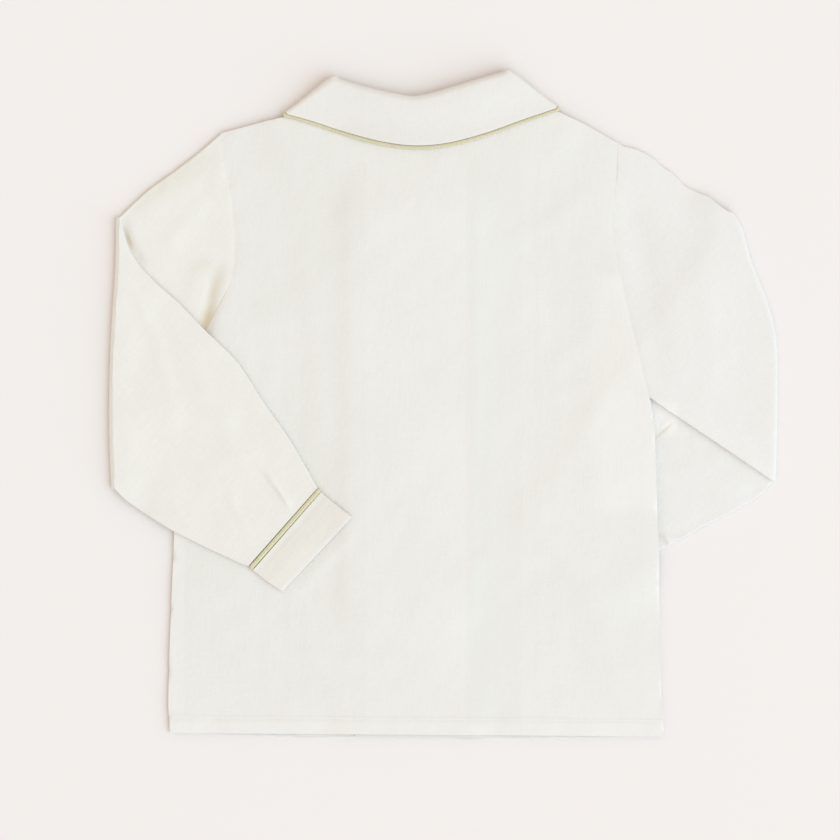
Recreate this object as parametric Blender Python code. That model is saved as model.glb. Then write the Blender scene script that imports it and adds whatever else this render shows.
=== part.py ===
"""A small child's double-breasted shirt, laid flat on a table with its back up.

X points to the right, Y to the collar and Z up. The origin is on the table, below the middle of the
shirt. The wearer's left is at -X. From the table up lie the collar's two front wings, the buttons and
the right forearm, then the left front, the right front, the back, and last the left forearm and the
back of the collar.
"""

import math
from collections import namedtuple

import bmesh
import bpy
from mathutils import Vector
from mathutils.geometry import delaunay_2d_cdt

MM = 0.001  # every size below is in millimetres

# Cloth
WALL = 1.0
GAP = 0.4  # between layers that lie on each other
LOOSE_GAP = 0.8  # below the folded forearm
SEAM = 0.3  # between pieces that are sewn edge to edge
LAYER = WALL + GAP
TUBE = WALL + GAP + WALL  # a sleeve or cuff pressed flat
FOLD = TUBE + GAP / 2  # outer radius where a flat sleeve turns back on itself, and where the collar turns
GRID = 16.0  # spacing of the points of a panel
GRID_LEAN = 0.8  # alternate rows are moved along by this
GRID_CLEAR = 5.0  # and points nearer than this to the outline are left out
SPLINE_STEPS = 12

# Body outline, from the hem up to the armpit
Place = namedtuple("Place", "x y")
SIDE_LEFT = (
    Place(-191.0, -230.4),
    Place(-192.4, -212.0),
    Place(-191.8, -180.0),
    Place(-190.4, -142.0),
    Place(-188.3, -89.6),
    Place(-186.4, -40.0),
    Place(-185.5, 4.2),
)
SIDE_RIGHT = (
    Place(155.0, -233.0),
    Place(153.3, -208.0),
    Place(151.9, -161.0),
    Place(151.2, -105.0),
    Place(149.8, -67.2),
    Place(148.2, -20.0),
    Place(144.9, 4.2),
)
ARMHOLE_LEFT = (
    Place(-185.5, 4.2),
    Place(-165.9, 51.1),
    Place(-158.2, 66.5),
    Place(-150.0, 82.0),
    Place(-146.3, 101.5),
    Place(-146.3, 121.8),
    Place(-149.0, 147.7),
    Place(-153.3, 168.0),
    Place(-155.4, 189.7),
)
ARMHOLE_RIGHT = (
    Place(144.9, 4.2),
    Place(132.3, 56.0),
    Place(123.9, 93.8),
    Place(119.7, 121.8),
    Place(119.7, 140.0),
    Place(123.9, 168.0),
    Place(125.3, 181.3),
)
SHOULDER_LEFT = Place(-128.0, 197.2)
SHOULDER_RIGHT = Place(102.0, 194.6)
SIDE_STEPS = 14
FRONT_HEM_DROP = 1.9  # the fronts hang this much below the back at the centre
HEM_DROP_LEFT, HEM_DROP_RIGHT = 115.0, 155.0  # reached this far in from each side seam

# Double-breasted front
CENTRE = -21.0
LEFT_EDGE_TOP, LEFT_EDGE_HEM = 16.0, 10.5  # free edge of the outer front
RIGHT_EDGE_TOP, RIGHT_EDGE_HEM = -57.0, -61.6  # free edge of the front below it
OVERLAP_TOP = 174.0  # highest point where both fronts lie on each other
TUCK_OFFSETS = (82.0, 96.0, 110.0)  # stitched lines, from the centre
TUCK_WIDTH = 7.5
TUCK_RISE = 2.0  # a tuck is full this far from its stitched line
TUCK_STEP = 0.7  # and ends this abruptly at its free edge
TUCK_PROUD = 0.5

# Buttons, on the outer face of the left front
BUTTON_RADIUS = 6.5
BUTTON_THICK = 2.0
BUTTON_RIM = 0.5
BUTTON_SIDES = 20
BUTTON_COLUMNS = (CENTRE - 22.0, CENTRE + 22.0)
BUTTON_ROWS = (118.0, 36.0, -46.0, -128.0)

# Collar, one row for each section: where it rolls over, and its outer edge
Section = namedtuple("Section", "roll_x roll_y edge_x edge_y")
STAND = 12.0
COLLAR_FOLD_LEFT = Section(-74.4, 226.8, -109.8, 202.3)
COLLAR_FOLD_RIGHT = Section(43.0, 231.5, 79.6, 206.3)
COLLAR_BACK = (
    Section(-62.0, 222.8, -92.4, 197.4),
    Section(-48.0, 218.8, -70.0, 190.0),
    Section(-34.0, 215.8, -45.0, 183.2),
    Section(-21.5, 213.8, -21.0, 180.0),
    Section(-8.0, 216.0, 3.0, 181.8),
    Section(8.0, 220.8, 29.4, 188.7),
    Section(26.0, 226.4, 56.0, 198.2),
)
COLLAR_WING = (
    Section(-73.6, 216.0, -109.6, 190.0),
    Section(-69.0, 203.0, -103.0, 172.0),
    Section(-60.0, 191.0, -89.0, 154.0),
    Section(-48.0, 182.0, -70.0, 141.0),
    Section(-37.0, 178.0, -50.0, 135.5),
    Section(-29.5, 176.8, -34.0, 141.0),
    Section(-24.0, 176.5, -25.0, 155.0),
)
FALL_STEPS = 3
ROLL_STEPS = 4
PIPING_WIDE = 3.0
PIPING_THICK = 1.0

# Sleeves, one row for each section across: over-arm edge, underarm edge, and how far the line between
# them bows out towards the hand
Row = namedtuple("Row", "over_x over_y under_x under_y bow")
ACROSS = 10
FOLD_STEPS = 4
EDGE_ROUND = 0.4  # a sleeve's long edges are rounded out by this
PLEAT_AT = 3  # which of the points across the left forearm lies on its pleat
PLEAT_HEIGHTS = (1.4, 1.0, 0.3)  # at the cuff and at the rows before it
SLEEVE_LEFT_UPPER = (
    Row(-171.0, 176.4, -197.0, -12.0, -14.0),
    Row(-188.3, 163.1, -209.0, -28.0, -7.0),
    Row(-208.0, 148.6, -221.0, -44.0, -2.0),
)
FOLD_LEFT = (
    Place(-226.6, 131.0),
    Place(-227.3, 95.2),
    Place(-230.5, 42.7),
    Place(-231.6, -11.2),
    Place(-230.0, -59.6),
)
SLEEVE_LEFT_FORE = (
    Row(-218.6, 106.4, -222.0, -67.5, 2.0),
    Row(-204.5, 88.5, -207.0, -78.0, 0.0),
    Row(-184.8, 70.7, -190.4, -88.2, 0.0),
    Row(-165.9, 51.1, -176.0, -95.6, 0.0),
    Row(-144.0, 29.5, -162.0, -102.4, 0.0),
    Row(-125.6, 1.5, -151.0, -107.4, 0.0),
    Row(-106.2, -26.6, -142.0, -111.6, 0.0),
    Row(-87.8, -58.8, -136.2, -113.4, 0.0),
)
CUFF_LEFT = (
    Row(-85.3, -61.6, -133.2, -116.4, 0.0),
    Row(-74.0, -71.0, -123.0, -124.5, 0.0),
    Row(-63.4, -79.1, -112.4, -131.4, 0.0),
)
SLEEVE_RIGHT_UPPER = (
    Row(146.0, 167.6, 164.0, -9.0, -9.0),
    Row(174.0, 149.4, 184.0, -22.5, -2.0),
    Row(194.0, 136.4, 206.0, -37.0, 6.0),
)
FOLD_RIGHT = (
    Place(201.5, 131.0),
    Place(213.8, 99.8),
    Place(224.8, 71.8),
    Place(231.2, 42.0),
    Place(231.6, -11.0),
    Place(230.6, -54.0),
)
SLEEVE_RIGHT_FORE = (
    Row(198.0, 108.0, 221.0, -65.0, 10.0),
    Row(184.0, 88.0, 204.5, -74.5, 4.0),
    Row(168.0, 66.0, 182.5, -86.0, 0.0),
    Row(150.0, 43.0, 168.0, -94.0, 0.0),
    Row(132.0, 17.0, 155.0, -100.6, 0.0),
    Row(116.0, -9.0, 147.0, -104.6, 0.0),
    Row(101.0, -33.0, 141.0, -107.6, 0.0),
    Row(87.6, -54.0, 136.4, -109.4, 0.0),
)
CUFF_RIGHT = (
    Row(85.2, -56.8, 133.6, -112.4, 0.0),
    Row(73.5, -66.0, 123.0, -119.6, 0.0),
    Row(63.0, -74.2, 112.2, -126.2, 0.0),
)

# How the upper layers ride over what lies below them
COLLAR_RAMP = 24.0
BAND_RAMP = 22.0
FOREARM_RAMP = 30.0
BUTTON_FLAT = 13.0  # the front stays up this far round the buttons
BUTTON_RAMP = 36.0
TUCK_RAMP = 24.0
EDGE_RAMP = 18.0
SPARE = 5.0  # full height is kept this far past the piece below

IVORY = (0.86, 0.84, 0.78, 1.0)
SAGE = (0.52, 0.53, 0.28, 1.0)
PEARL = (0.80, 0.78, 0.70, 1.0)
CLOTH_ROUGHNESS, PEARL_ROUGHNESS = 0.85, 0.3


def spline(places, count):
    """count + 1 points, evenly spaced, on a smooth curve through the places."""
    knots = [Vector(p) for p in places]
    knots = [2 * knots[0] - knots[1]] + knots + [2 * knots[-1] - knots[-2]]
    fine = []
    for a, b, c, d in zip(knots, knots[1:], knots[2:], knots[3:]):
        square, cube = 2 * a - 5 * b + 4 * c - d, 3 * b - a - 3 * c + d
        for step in range(SPLINE_STEPS):
            t = step / SPLINE_STEPS
            fine.append(b + ((c - a) * t + square * t**2 + cube * t**3) / 2)
    fine.append(knots[-2])
    return evenly(fine, count)


def evenly(line, count):
    """count + 1 points, evenly spaced, along a polyline."""
    along = [0.0]
    for a, b in zip(line, line[1:]):
        along.append(along[-1] + (b - a).length)
    points, k = [], 0
    for i in range(count + 1):
        want = along[-1] * i / count
        while k < len(line) - 2 and along[k + 1] < want:
            k += 1
        points.append(line[k].lerp(line[k + 1], (want - along[k]) / (along[k + 1] - along[k])))
    return points


def eased(share):
    """0 to 1, level at both ends."""
    share = min(max(share, 0.0), 1.0)
    return share * share * (3 - 2 * share)


def to_stretch(place, a, b):
    """Distance from a point to a straight stretch between two points."""
    side = b - a
    along = min(max((place - a).dot(side) / side.length_squared, 0.0), 1.0)
    return (place - a - side * along).length


def outside(polygon, x, y):
    """How far a point is outside a closed polygon, 0 if it is inside."""
    inside, nearest = False, math.inf
    for a, b in zip(polygon, polygon[1:] + polygon[:1]):
        if (a.y > y) != (b.y > y) and x < a.x + (b.x - a.x) * (y - a.y) / (b.y - a.y):
            inside = not inside
        nearest = min(nearest, to_stretch(Vector((x, y)), a, b))
    return 0.0 if inside else nearest


def lift(distance, ramp):
    """1 over a piece and a little past it, easing to 0 once a ramp's length away."""
    return 1.0 - eased((distance - SPARE) / ramp)


def mirrored_wing():
    """The right wing's sections: the left one mirrored, and moved to meet the right fold."""
    left, right = COLLAR_FOLD_LEFT, COLLAR_FOLD_RIGHT
    shift = Vector((right.roll_x + left.roll_x - 2 * CENTRE, right.roll_y - left.roll_y))
    rows = []
    for k, s in enumerate(COLLAR_WING, 1):
        move = shift * (1 - k / len(COLLAR_WING))
        inner = Vector((2 * CENTRE - s.roll_x, s.roll_y)) + move
        outer = Vector((2 * CENTRE - s.edge_x, s.edge_y)) + move
        rows.append(Section(*inner, *outer))
    return tuple(rows)


WING_RIGHT = mirrored_wing()


def roll(section):
    return Vector((section.roll_x, section.roll_y))


def outer_edge(section):
    return Vector((section.edge_x, section.edge_y))


def neck_point(section):
    """Where a panel meets the collar's stand."""
    away = (outer_edge(section) - roll(section)).normalized()
    return roll(section) + away * (STAND + SEAM)


def fold_normal(section):
    """Across a section, pointing away from the shirt."""
    away = (outer_edge(section) - roll(section)).normalized()
    across = Vector((-away.y, away.x))
    return across if across.y > 0 else -across


def sleeve_line(row):
    """Points across a sleeve from its over-arm edge to its underarm edge."""
    over, under = Vector((row.over_x, row.over_y)), Vector((row.under_x, row.under_y))
    down = (under - over).normalized()
    out = Vector((down.y, -down.x))
    if (out.x > 0) != (row.over_x > CENTRE):
        out = -out
    line = []
    for k in range(ACROSS + 1):
        share = k / ACROSS
        line.append(over.lerp(under, share) + out * row.bow * 4 * share * (1 - share))
    return line


def armhole(places):
    """The armhole's points from the shoulder down."""
    return spline(places[::-1], ACROSS)


HOLE_LEFT = armhole(ARMHOLE_LEFT)
HOLE_RIGHT = armhole(ARMHOLE_RIGHT)
CREASE_LEFT = spline(FOLD_LEFT, ACROSS)
CREASE_RIGHT = spline(FOLD_RIGHT, ACROSS)

COLLAR_PLAN = (
    [roll(COLLAR_FOLD_LEFT), outer_edge(COLLAR_FOLD_LEFT)]
    + [outer_edge(s) for s in COLLAR_WING]
    + [outer_edge(s) for s in WING_RIGHT[::-1]]
    + [outer_edge(COLLAR_FOLD_RIGHT), roll(COLLAR_FOLD_RIGHT)]
)


def strip_plan(lines):
    """The closed outline, from above, of lines across a sleeve."""
    underarm, over_arm = [line[-1] for line in lines[1:-1]], [line[0] for line in lines[1:-1]]
    return lines[0] + underarm + lines[-1][::-1] + over_arm[::-1]


FOREARM_PLAN = strip_plan([CREASE_RIGHT] + [sleeve_line(row) for row in SLEEVE_RIGHT_FORE + CUFF_RIGHT])
UPPER_SLEEVE_PLAN = HOLE_LEFT + CREASE_LEFT[::-1]


def slanted(hem_x, top_x, y):
    """Where a front's slightly slanted free edge is at y."""
    share = (y - SIDE_LEFT[0].y) / (OVERLAP_TOP - SIDE_LEFT[0].y)
    return hem_x + (top_x - hem_x) * min(max(share, 0.0), 1.0)


def left_edge(y):
    """The outer front's free edge."""
    return slanted(LEFT_EDGE_HEM, LEFT_EDGE_TOP, y)


def right_edge(y):
    """The inner front's free edge."""
    return slanted(RIGHT_EDGE_HEM, RIGHT_EDGE_TOP, y)


def tuck_zone(x):
    """1 between and beside the pin tucks, easing to 0 to each side."""
    across = abs(x - CENTRE)
    beside = max(TUCK_OFFSETS[0] - across, across - TUCK_OFFSETS[-1] - TUCK_WIDTH, 0.0)
    return lift(beside, TUCK_RAMP)


def on_tuck(x):
    """0 on the bare panel, growing to 1 across a tuck from its stitched line to its free edge."""
    across = abs(x - CENTRE)
    for start in TUCK_OFFSETS:
        if start <= across < start + TUCK_WIDTH + TUCK_STEP / 2:
            return eased((across - start) / TUCK_RISE)
    return 0.0


def front_base(x, y):
    """Height of the outer front above the table."""
    height = LAYER * lift(outside(COLLAR_PLAN, x, y), COLLAR_RAMP)
    height += (TUBE + GAP) * lift(outside(FOREARM_PLAN, x, y), FOREARM_RAMP)
    height += TUCK_PROUD * tuck_zone(x)
    beside = max(BUTTON_COLUMNS[0] - x, x - BUTTON_COLUMNS[1], 0.0)
    beyond = max(BUTTON_ROWS[-1] - y, y - BUTTON_ROWS[0], 0.0)
    return height + (BUTTON_THICK + GAP) * lift(math.hypot(beside, beyond) - BUTTON_FLAT, BUTTON_RAMP)


def inner_front_base(x, y):
    """Height of the inner front, which lies on the outer one and runs down to the table beside it."""
    off = math.hypot(max(x - left_edge(y), 0.0), max(y - OVERLAP_TOP, 0.0))
    return front_base(x, y) + LAYER * lift(off, BAND_RAMP)


def back_base(x, y):
    """Height of the back above the table, also beyond its edges."""
    beside = max(x - left_edge(y), right_edge(y) - x, 0.0)
    off = math.hypot(beside, max(y - OVERLAP_TOP, 0.0))
    return front_base(x, y) + LAYER + LAYER * lift(off, BAND_RAMP)


def over_base(x, y):
    """Height of what lies loosely on the back or on the left sleeve."""
    off_both = min(outside(BACK_PLAN, x, y), outside(UPPER_SLEEVE_PLAN, x, y))
    return (back_base(x, y) + WALL + LOOSE_GAP) * lift(off_both, EDGE_RAMP)


def finish(name, colour):
    material = bpy.data.materials.new(name)
    material.use_nodes = True
    shader = material.node_tree.nodes["Principled BSDF"]
    shader.inputs["Base Color"].default_value = colour
    shader.inputs["Roughness"].default_value = PEARL_ROUGHNESS if colour == PEARL else CLOTH_ROUGHNESS
    return material


def add_object(name, bm, colour):
    """Turn a bmesh in millimetres into an object in metres, with its own material."""
    bmesh.ops.recalc_face_normals(bm, faces=bm.faces[:])
    bmesh.ops.scale(bm, vec=(MM, MM, MM), verts=bm.verts[:])
    mesh = bpy.data.meshes.new(name)
    bm.to_mesh(mesh)
    bm.free()
    mesh.materials.append(finish(name, colour))
    obj = bpy.data.objects.new(name, mesh)
    bpy.context.scene.collection.objects.link(obj)
    return obj


def tuck_columns():
    """Columns at each tuck's stitched line, where it is full, at its free edge and just past it."""
    found = []
    for start in TUCK_OFFSETS:
        for across in (start, start + TUCK_RISE, start + TUCK_WIDTH, start + TUCK_WIDTH + TUCK_STEP):
            found += [CENTRE - across, CENTRE + across]
    return found


def columns(low, high, extra=()):
    """The grid's columns between two places, with extra ones in place of those too near to them."""
    first, last = math.ceil((low + GRID_CLEAR) / GRID), math.floor((high - GRID_CLEAR) / GRID)
    even = [GRID * k for k in range(first, last + 1)]
    kept = [x for x in even if all(abs(x - e) > GRID_CLEAR for e in extra)]
    return sorted(kept + [e for e in extra if low + GRID_CLEAR < e < high - GRID_CLEAR])


def grid_points(outline, extra):
    """The grid's points inside an outline and clear of it. Rows of one panel lie on those of the next,
    and alternate rows lean a little, so every panel is divided along the same diagonals."""
    low, high = min(p.y for p in outline), max(p.y for p in outline)
    found = []
    for row in range(math.ceil(low / GRID), math.floor(high / GRID) + 1):
        for x in columns(min(p.x for p in outline), max(p.x for p in outline), extra):
            place = Vector((x if x in extra else x + GRID_LEAN * (row % 2), GRID * row))
            edges = zip(outline, outline[1:] + outline[:1])
            clear = min(to_stretch(place, a, b) for a, b in edges) > GRID_CLEAR
            if clear and outside(outline, *place) == 0.0:
                found.append(place)
    return found


def panel(name, outline, extra, bottom, top):
    """A sheet of cloth: a grid of points inside an outline, given two heights and joined round the edge."""
    points = list(outline) + grid_points(outline, extra)
    flat, _, faces, *_ = delaunay_2d_cdt(points, [], [list(range(len(outline)))], 1, 1e-6)
    bm = bmesh.new()
    lower = [bm.verts.new((p.x, p.y, bottom(p.x, p.y))) for p in flat]
    upper = [bm.verts.new((p.x, p.y, top(p.x, p.y))) for p in flat]
    for face in faces:
        bm.faces.new([upper[k] for k in face])
        bm.faces.new([lower[k] for k in reversed(face)])
    directed = {(a, b) for face in faces for a, b in zip(face, face[1:] + face[:1])}
    for a, b in sorted(directed):
        if (b, a) not in directed:
            bm.faces.new((lower[a], lower[b], upper[b], upper[a]))
    return add_object(name, bm, IVORY)


def swept(name, rings, colour):
    """A solid through closed rings of the same number of points, capped at both ends."""
    bm = bmesh.new()
    verts = [[bm.verts.new(p) for p in ring] for ring in rings]
    for a, b in zip(verts, verts[1:]):
        for k in range(len(a)):
            n = (k + 1) % len(a)
            bm.faces.new((a[k], a[n], b[n], b[k]))
    bm.faces.new(verts[0][::-1])
    bm.faces.new(verts[-1])
    bmesh.ops.triangulate(bm, faces=[f for f in bm.faces if len(f.verts) > 4])
    return add_object(name, bm, colour)


def tube(name, rings, colour):
    """A hollow tube through pairs of an outer and an inner ring, open at both ends."""
    bm = bmesh.new()
    outer = [[bm.verts.new(p) for p in ring[0]] for ring in rings]
    inner = [[bm.verts.new(p) for p in ring[1]] for ring in rings]
    size = len(outer[0])
    for k in range(size):
        n = (k + 1) % size
        for a, b in zip(outer, outer[1:]):
            bm.faces.new((a[k], a[n], b[n], b[k]))
        for a, b in zip(inner, inner[1:]):
            bm.faces.new((a[n], a[k], b[k], b[n]))
        bm.faces.new((outer[0][n], outer[0][k], inner[0][k], inner[0][n]))
        bm.faces.new((outer[-1][k], outer[-1][n], inner[-1][n], inner[-1][k]))
    return add_object(name, bm, colour)


def middle(a, b):
    return (a + b) / 2


def flat_ring(line, place):
    """A pressed tube's outer and inner ring. place(point, level) gives a point on level 0 to 3: the two
    faces of the wall that ends up outside the fold, then those of the other wall."""

    def closed(first, second, points, reach):
        start = line[0] + (line[0] - line[1]).normalized() * reach
        end = line[-1] + (line[-1] - line[-2]).normalized() * reach
        ring = [place(p, first) for p in points]
        ring.append(middle(place(end, first), place(end, second)))
        ring += [place(p, second) for p in points[::-1]]
        return ring + [middle(place(start, first), place(start, second))]

    inset = list(line)
    inset[0] = line[0] + (line[1] - line[0]).normalized() * WALL
    inset[-1] = line[-1] + (line[-2] - line[-1]).normalized() * WALL
    return closed(0, 3, line, EDGE_ROUND), closed(1, 2, inset, EDGE_ROUND - WALL)


def levels_on_table(p, level):
    """The left upper sleeve, between the front's level and the back's."""
    base = (front_base, front_base, back_base, back_base)[level](p.x, p.y)
    return Vector((p.x, p.y, base + WALL * (level in (1, 3))))


def levels_above_forearm(p, level):
    """The right upper sleeve, at the same levels, with its other wall outside the fold."""
    base = (back_base, back_base, front_base, front_base)[level](p.x, p.y)
    return Vector((p.x, p.y, base + WALL * (level in (0, 2))))


def levels_on_back(p, level):
    """The left forearm, which lies on the back."""
    return Vector((p.x, p.y, over_base(p.x, p.y) + (TUBE, TUBE - WALL, WALL, 0.0)[level]))


def levels_below(p, level):
    """The right forearm, which lies on the table."""
    return Vector((p.x, p.y, (0.0, WALL, TUBE - WALL, TUBE)[level]))


def around_fold(angle, side):
    """Levels at an angle round the sleeve's fold: 0 is below the fold line and pi above it."""
    radii = (FOLD, FOLD - WALL, FOLD - WALL - GAP, FOLD - WALL - GAP - WALL)

    def place(p, level):
        reach = radii[level]
        return Vector((p.x + side * reach * math.sin(angle), p.y, FOLD - reach * math.cos(angle)))

    return place


def moved_out(line, side, distance):
    """An armhole's points moved towards the sleeve, to the side given as -1 or 1."""
    moved = []
    for k, p in enumerate(line):
        ahead, behind = line[min(k + 1, len(line) - 1)], line[max(k - 1, 0)]
        along = (ahead - behind).normalized()
        out = Vector((along.y, -along.x))
        moved.append(p + (out if out.x * side > 0 else -out) * distance)
    return moved


def sleeve_rings(side, hole, upper, crease, fore, lying, turned):
    """A sleeve's rings from the armhole, round its fold, to the cuff."""
    rings = [flat_ring(moved_out(hole, side, SEAM), lying)]
    rings += [flat_ring(sleeve_line(row), lying) for row in upper]
    turns = [math.pi * k / FOLD_STEPS for k in range(FOLD_STEPS + 1)]
    for angle in turns if side < 0 else turns[::-1]:
        rings.append(flat_ring(crease, around_fold(angle, side)))
    return rings + [flat_ring(sleeve_line(row), turned) for row in fore]


def build_left_sleeve():
    rings = sleeve_rings(
        -1, HOLE_LEFT, SLEEVE_LEFT_UPPER, CREASE_LEFT, SLEEVE_LEFT_FORE, levels_on_table, levels_on_back
    )
    for ring, height in zip(rings[::-1], PLEAT_HEIGHTS):
        ring[0][PLEAT_AT].z += height
    tube("sleeve_left", rings, IVORY)


def build_right_sleeve():
    rings = sleeve_rings(
        1, HOLE_RIGHT, SLEEVE_RIGHT_UPPER, CREASE_RIGHT, SLEEVE_RIGHT_FORE, levels_above_forearm, levels_below
    )
    tube("sleeve_right", rings, IVORY)


def build_cuff(name, sleeve_end, rows, place):
    """A cuff, and the piping in the seam between it and the sleeve."""
    tube("cuff_" + name, [flat_ring(sleeve_line(r), place) for r in rows], IVORY)
    start, stop = sleeve_line(sleeve_end), sleeve_line(rows[0])
    clear = SEAM / (stop[0] - start[0]).length
    band = []
    for share in (clear, 0.5, 1.0 - clear):
        band.append(flat_ring([a.lerp(b, share) for a, b in zip(start, stop)], place))
    tube("cuff_piping_" + name, band, SAGE)


def collar_frames():
    """Each section of the collar, with the angle round its fold: pi / 2 is on top of the shirt."""
    frames = [(s, -math.pi / 2) for s in COLLAR_WING[::-1]]
    turn = [math.pi * (k / FOLD_STEPS - 0.5) for k in range(FOLD_STEPS + 1)]
    frames += [(COLLAR_FOLD_LEFT, angle) for angle in turn]
    frames += [(s, math.pi / 2) for s in COLLAR_BACK]
    frames += [(COLLAR_FOLD_RIGHT, angle) for angle in turn[::-1]]
    return frames + [(s, -math.pi / 2) for s in WING_RIGHT]


def collar_point(section, angle, along, reach):
    """A point so far along a section, and so far out from the middle of the collar's thickness."""
    away = (outer_edge(section) - roll(section)).normalized()
    flat = roll(section) + away * along + fold_normal(section) * reach * math.cos(angle)
    height = FOLD + reach * math.sin(angle)
    if angle > 0:
        height += (back_base(flat.x, flat.y) - 2 * LAYER) * math.sin(angle)
    return Vector((flat.x, flat.y, height))


def build_collar():
    """The collar's section is a hairpin: the fall outside, the roll, and the stand inside."""
    roll_middle = (FOLD + GAP / 2) / 2
    outer, inner = FOLD - roll_middle, GAP / 2
    turn = [math.pi * k / ROLL_STEPS for k in range(ROLL_STEPS + 1)]
    rings = []
    for section, angle in collar_frames():
        width = (outer_edge(section) - roll(section)).length
        fall = [width * k / FALL_STEPS for k in range(1, FALL_STEPS + 1)]
        outline = [(along, FOLD) for along in fall[::-1]]
        outline += [(-outer * math.sin(a), roll_middle + outer * math.cos(a)) for a in turn]
        outline += [(STAND, roll_middle - outer), (STAND, roll_middle - inner)]
        outline += [(0.0, roll_middle - inner), (-inner, roll_middle), (0.0, roll_middle + inner)]
        outline += [(along, FOLD - WALL) for along in fall]
        rings.append([collar_point(section, angle, along, reach) for along, reach in outline])
    swept("collar", rings, IVORY)


def build_collar_piping():
    """An eight-sided cord, flattened, along the fall's outer edge."""
    half, centre = PIPING_WIDE / 2, FOLD - PIPING_THICK / 2
    corners = [math.pi * (k + 0.5) / 4 for k in range(8)]
    widest = math.cos(corners[0])
    rings = []
    for section, angle in collar_frames():
        middle_along = (outer_edge(section) - roll(section)).length + SEAM + half
        ring = []
        for turn in corners:
            along = middle_along + half * math.cos(turn) / widest
            reach = centre + PIPING_THICK / 2 * math.sin(turn) / widest
            ring.append(collar_point(section, angle, along, reach))
        rings.append(ring)
    swept("collar_piping", rings, SAGE)


def hem_y(x):
    """The back's hem: a straight line between its two corners."""
    a, b = SIDE_LEFT[0], SIDE_RIGHT[0]
    return a.y + (b.y - a.y) * (x - a.x) / (b.x - a.x)


def front_hem_y(x):
    """The fronts' hem, which hangs lower towards the centre."""
    from_left, from_right = x - SIDE_LEFT[0].x, SIDE_RIGHT[0].x - x
    return hem_y(x) - FRONT_HEM_DROP * eased(from_left / HEM_DROP_LEFT) * eased(from_right / HEM_DROP_RIGHT)


def side_points(places):
    return spline(places, SIDE_STEPS)


def panel_shoulder(fold, shoulder):
    """From the neck along inside the collar's fold, and out along the shoulder."""
    inside = outer_edge(fold) - fold_normal(fold) * WALL
    return [neck_point(fold), middle(neck_point(fold), inside), inside, Vector(shoulder)]


def neckline(sections):
    return [neck_point(s) for s in sections]


def back_outline():
    across = columns(SIDE_LEFT[0].x, SIDE_RIGHT[0].x)
    line = [Vector(SIDE_LEFT[0])] + [Vector((x, hem_y(x))) for x in across]
    line += side_points(SIDE_RIGHT)[:-1] + HOLE_RIGHT[::-1]
    line += panel_shoulder(COLLAR_FOLD_RIGHT, SHOULDER_RIGHT)[::-1]
    line += neckline(COLLAR_BACK[::-1])
    line += panel_shoulder(COLLAR_FOLD_LEFT, SHOULDER_LEFT)
    return line + HOLE_LEFT + side_points(SIDE_LEFT)[::-1][1:-1]


BACK_PLAN = back_outline()


def front_edge_points(edge, top, low):
    """The free edge of a front, from the neckline down, both ends left out."""
    count = round((top - low) / GRID)
    heights = [top + (low - top) * k / count for k in range(1, count)]
    return [Vector((edge(y), y)) for y in heights]


def at_edge(line, edge):
    """Where a neckline that runs along X meets a front's free edge."""
    for a, b in zip(line, line[1:]):
        off_a, off_b = a.x - edge(a.y), b.x - edge(b.y)
        if off_a * off_b <= 0:
            return a.lerp(b, off_a / (off_a - off_b))
    raise ValueError("the neckline doesn't reach the front's edge")


def front_outline(left):
    """One front, from its side seam along the hem to its free edge, and back by the neck."""
    side = SIDE_LEFT if left else SIDE_RIGHT
    hole = HOLE_LEFT if left else HOLE_RIGHT
    edge = left_edge if left else right_edge
    fold = COLLAR_FOLD_LEFT if left else COLLAR_FOLD_RIGHT
    shoulder = SHOULDER_LEFT if left else SHOULDER_RIGHT
    own, other = (COLLAR_WING, WING_RIGHT) if left else (WING_RIGHT, COLLAR_WING)
    neck = neckline(own) + neckline(other[::-1])
    corner = at_edge(neck, edge)
    sign = 1 if left else -1
    neck = [p for p in neck if sign * (p.x - corner.x) < -1.0]
    hem_x = edge(SIDE_LEFT[0].y)
    across = columns(min(side[0].x, hem_x), max(side[0].x, hem_x), tuck_columns())[::sign]
    line = [Vector((side[0].x, side[0].y - 0.01))] + [Vector((x, front_hem_y(x))) for x in across]
    low = Vector((hem_x, front_hem_y(hem_x)))
    line += [low] + front_edge_points(edge, corner.y, low.y)[::-1] + [corner] + neck[::-1]
    line += panel_shoulder(fold, shoulder) + hole + side_points(side)[::-1][1:-1]
    return line


def build_body():
    panel("back", BACK_PLAN, (), back_base, lambda x, y: back_base(x, y) + WALL)
    for name, left, base in (("front_left", True, front_base), ("front_right", False, inner_front_base)):

        def tucked(x, y, base=base):
            return base(x, y) - TUCK_PROUD * on_tuck(x)

        def plain(x, y, base=base):
            return base(x, y) + WALL

        panel(name, front_outline(left), tuck_columns(), tucked, plain)


def build_buttons():
    """Flat round buttons with bevelled rims, their faces on the table."""
    inner, top = BUTTON_RADIUS - BUTTON_RIM, BUTTON_THICK - BUTTON_RIM
    profile = ((inner, 0.0), (BUTTON_RADIUS, BUTTON_RIM), (BUTTON_RADIUS, top), (inner, BUTTON_THICK))
    turns = [2 * math.pi * k / BUTTON_SIDES for k in range(BUTTON_SIDES)]
    for row, y in enumerate(BUTTON_ROWS, 1):
        for column, x in zip("ab", BUTTON_COLUMNS):
            rings = []
            for radius, z in profile:
                rings.append([Vector((x + radius * math.cos(t), y + radius * math.sin(t), z)) for t in turns])
            swept(f"button_{column}{row}", rings, PEARL)


def main():
    for obj in list(bpy.data.objects):
        bpy.data.objects.remove(obj, do_unlink=True)
    build_body()
    build_left_sleeve()
    build_right_sleeve()
    build_cuff("left", SLEEVE_LEFT_FORE[-1], CUFF_LEFT, levels_on_back)
    build_cuff("right", SLEEVE_RIGHT_FORE[-1], CUFF_RIGHT, levels_below)
    build_collar()
    build_collar_piping()
    build_buttons()


main()
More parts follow.
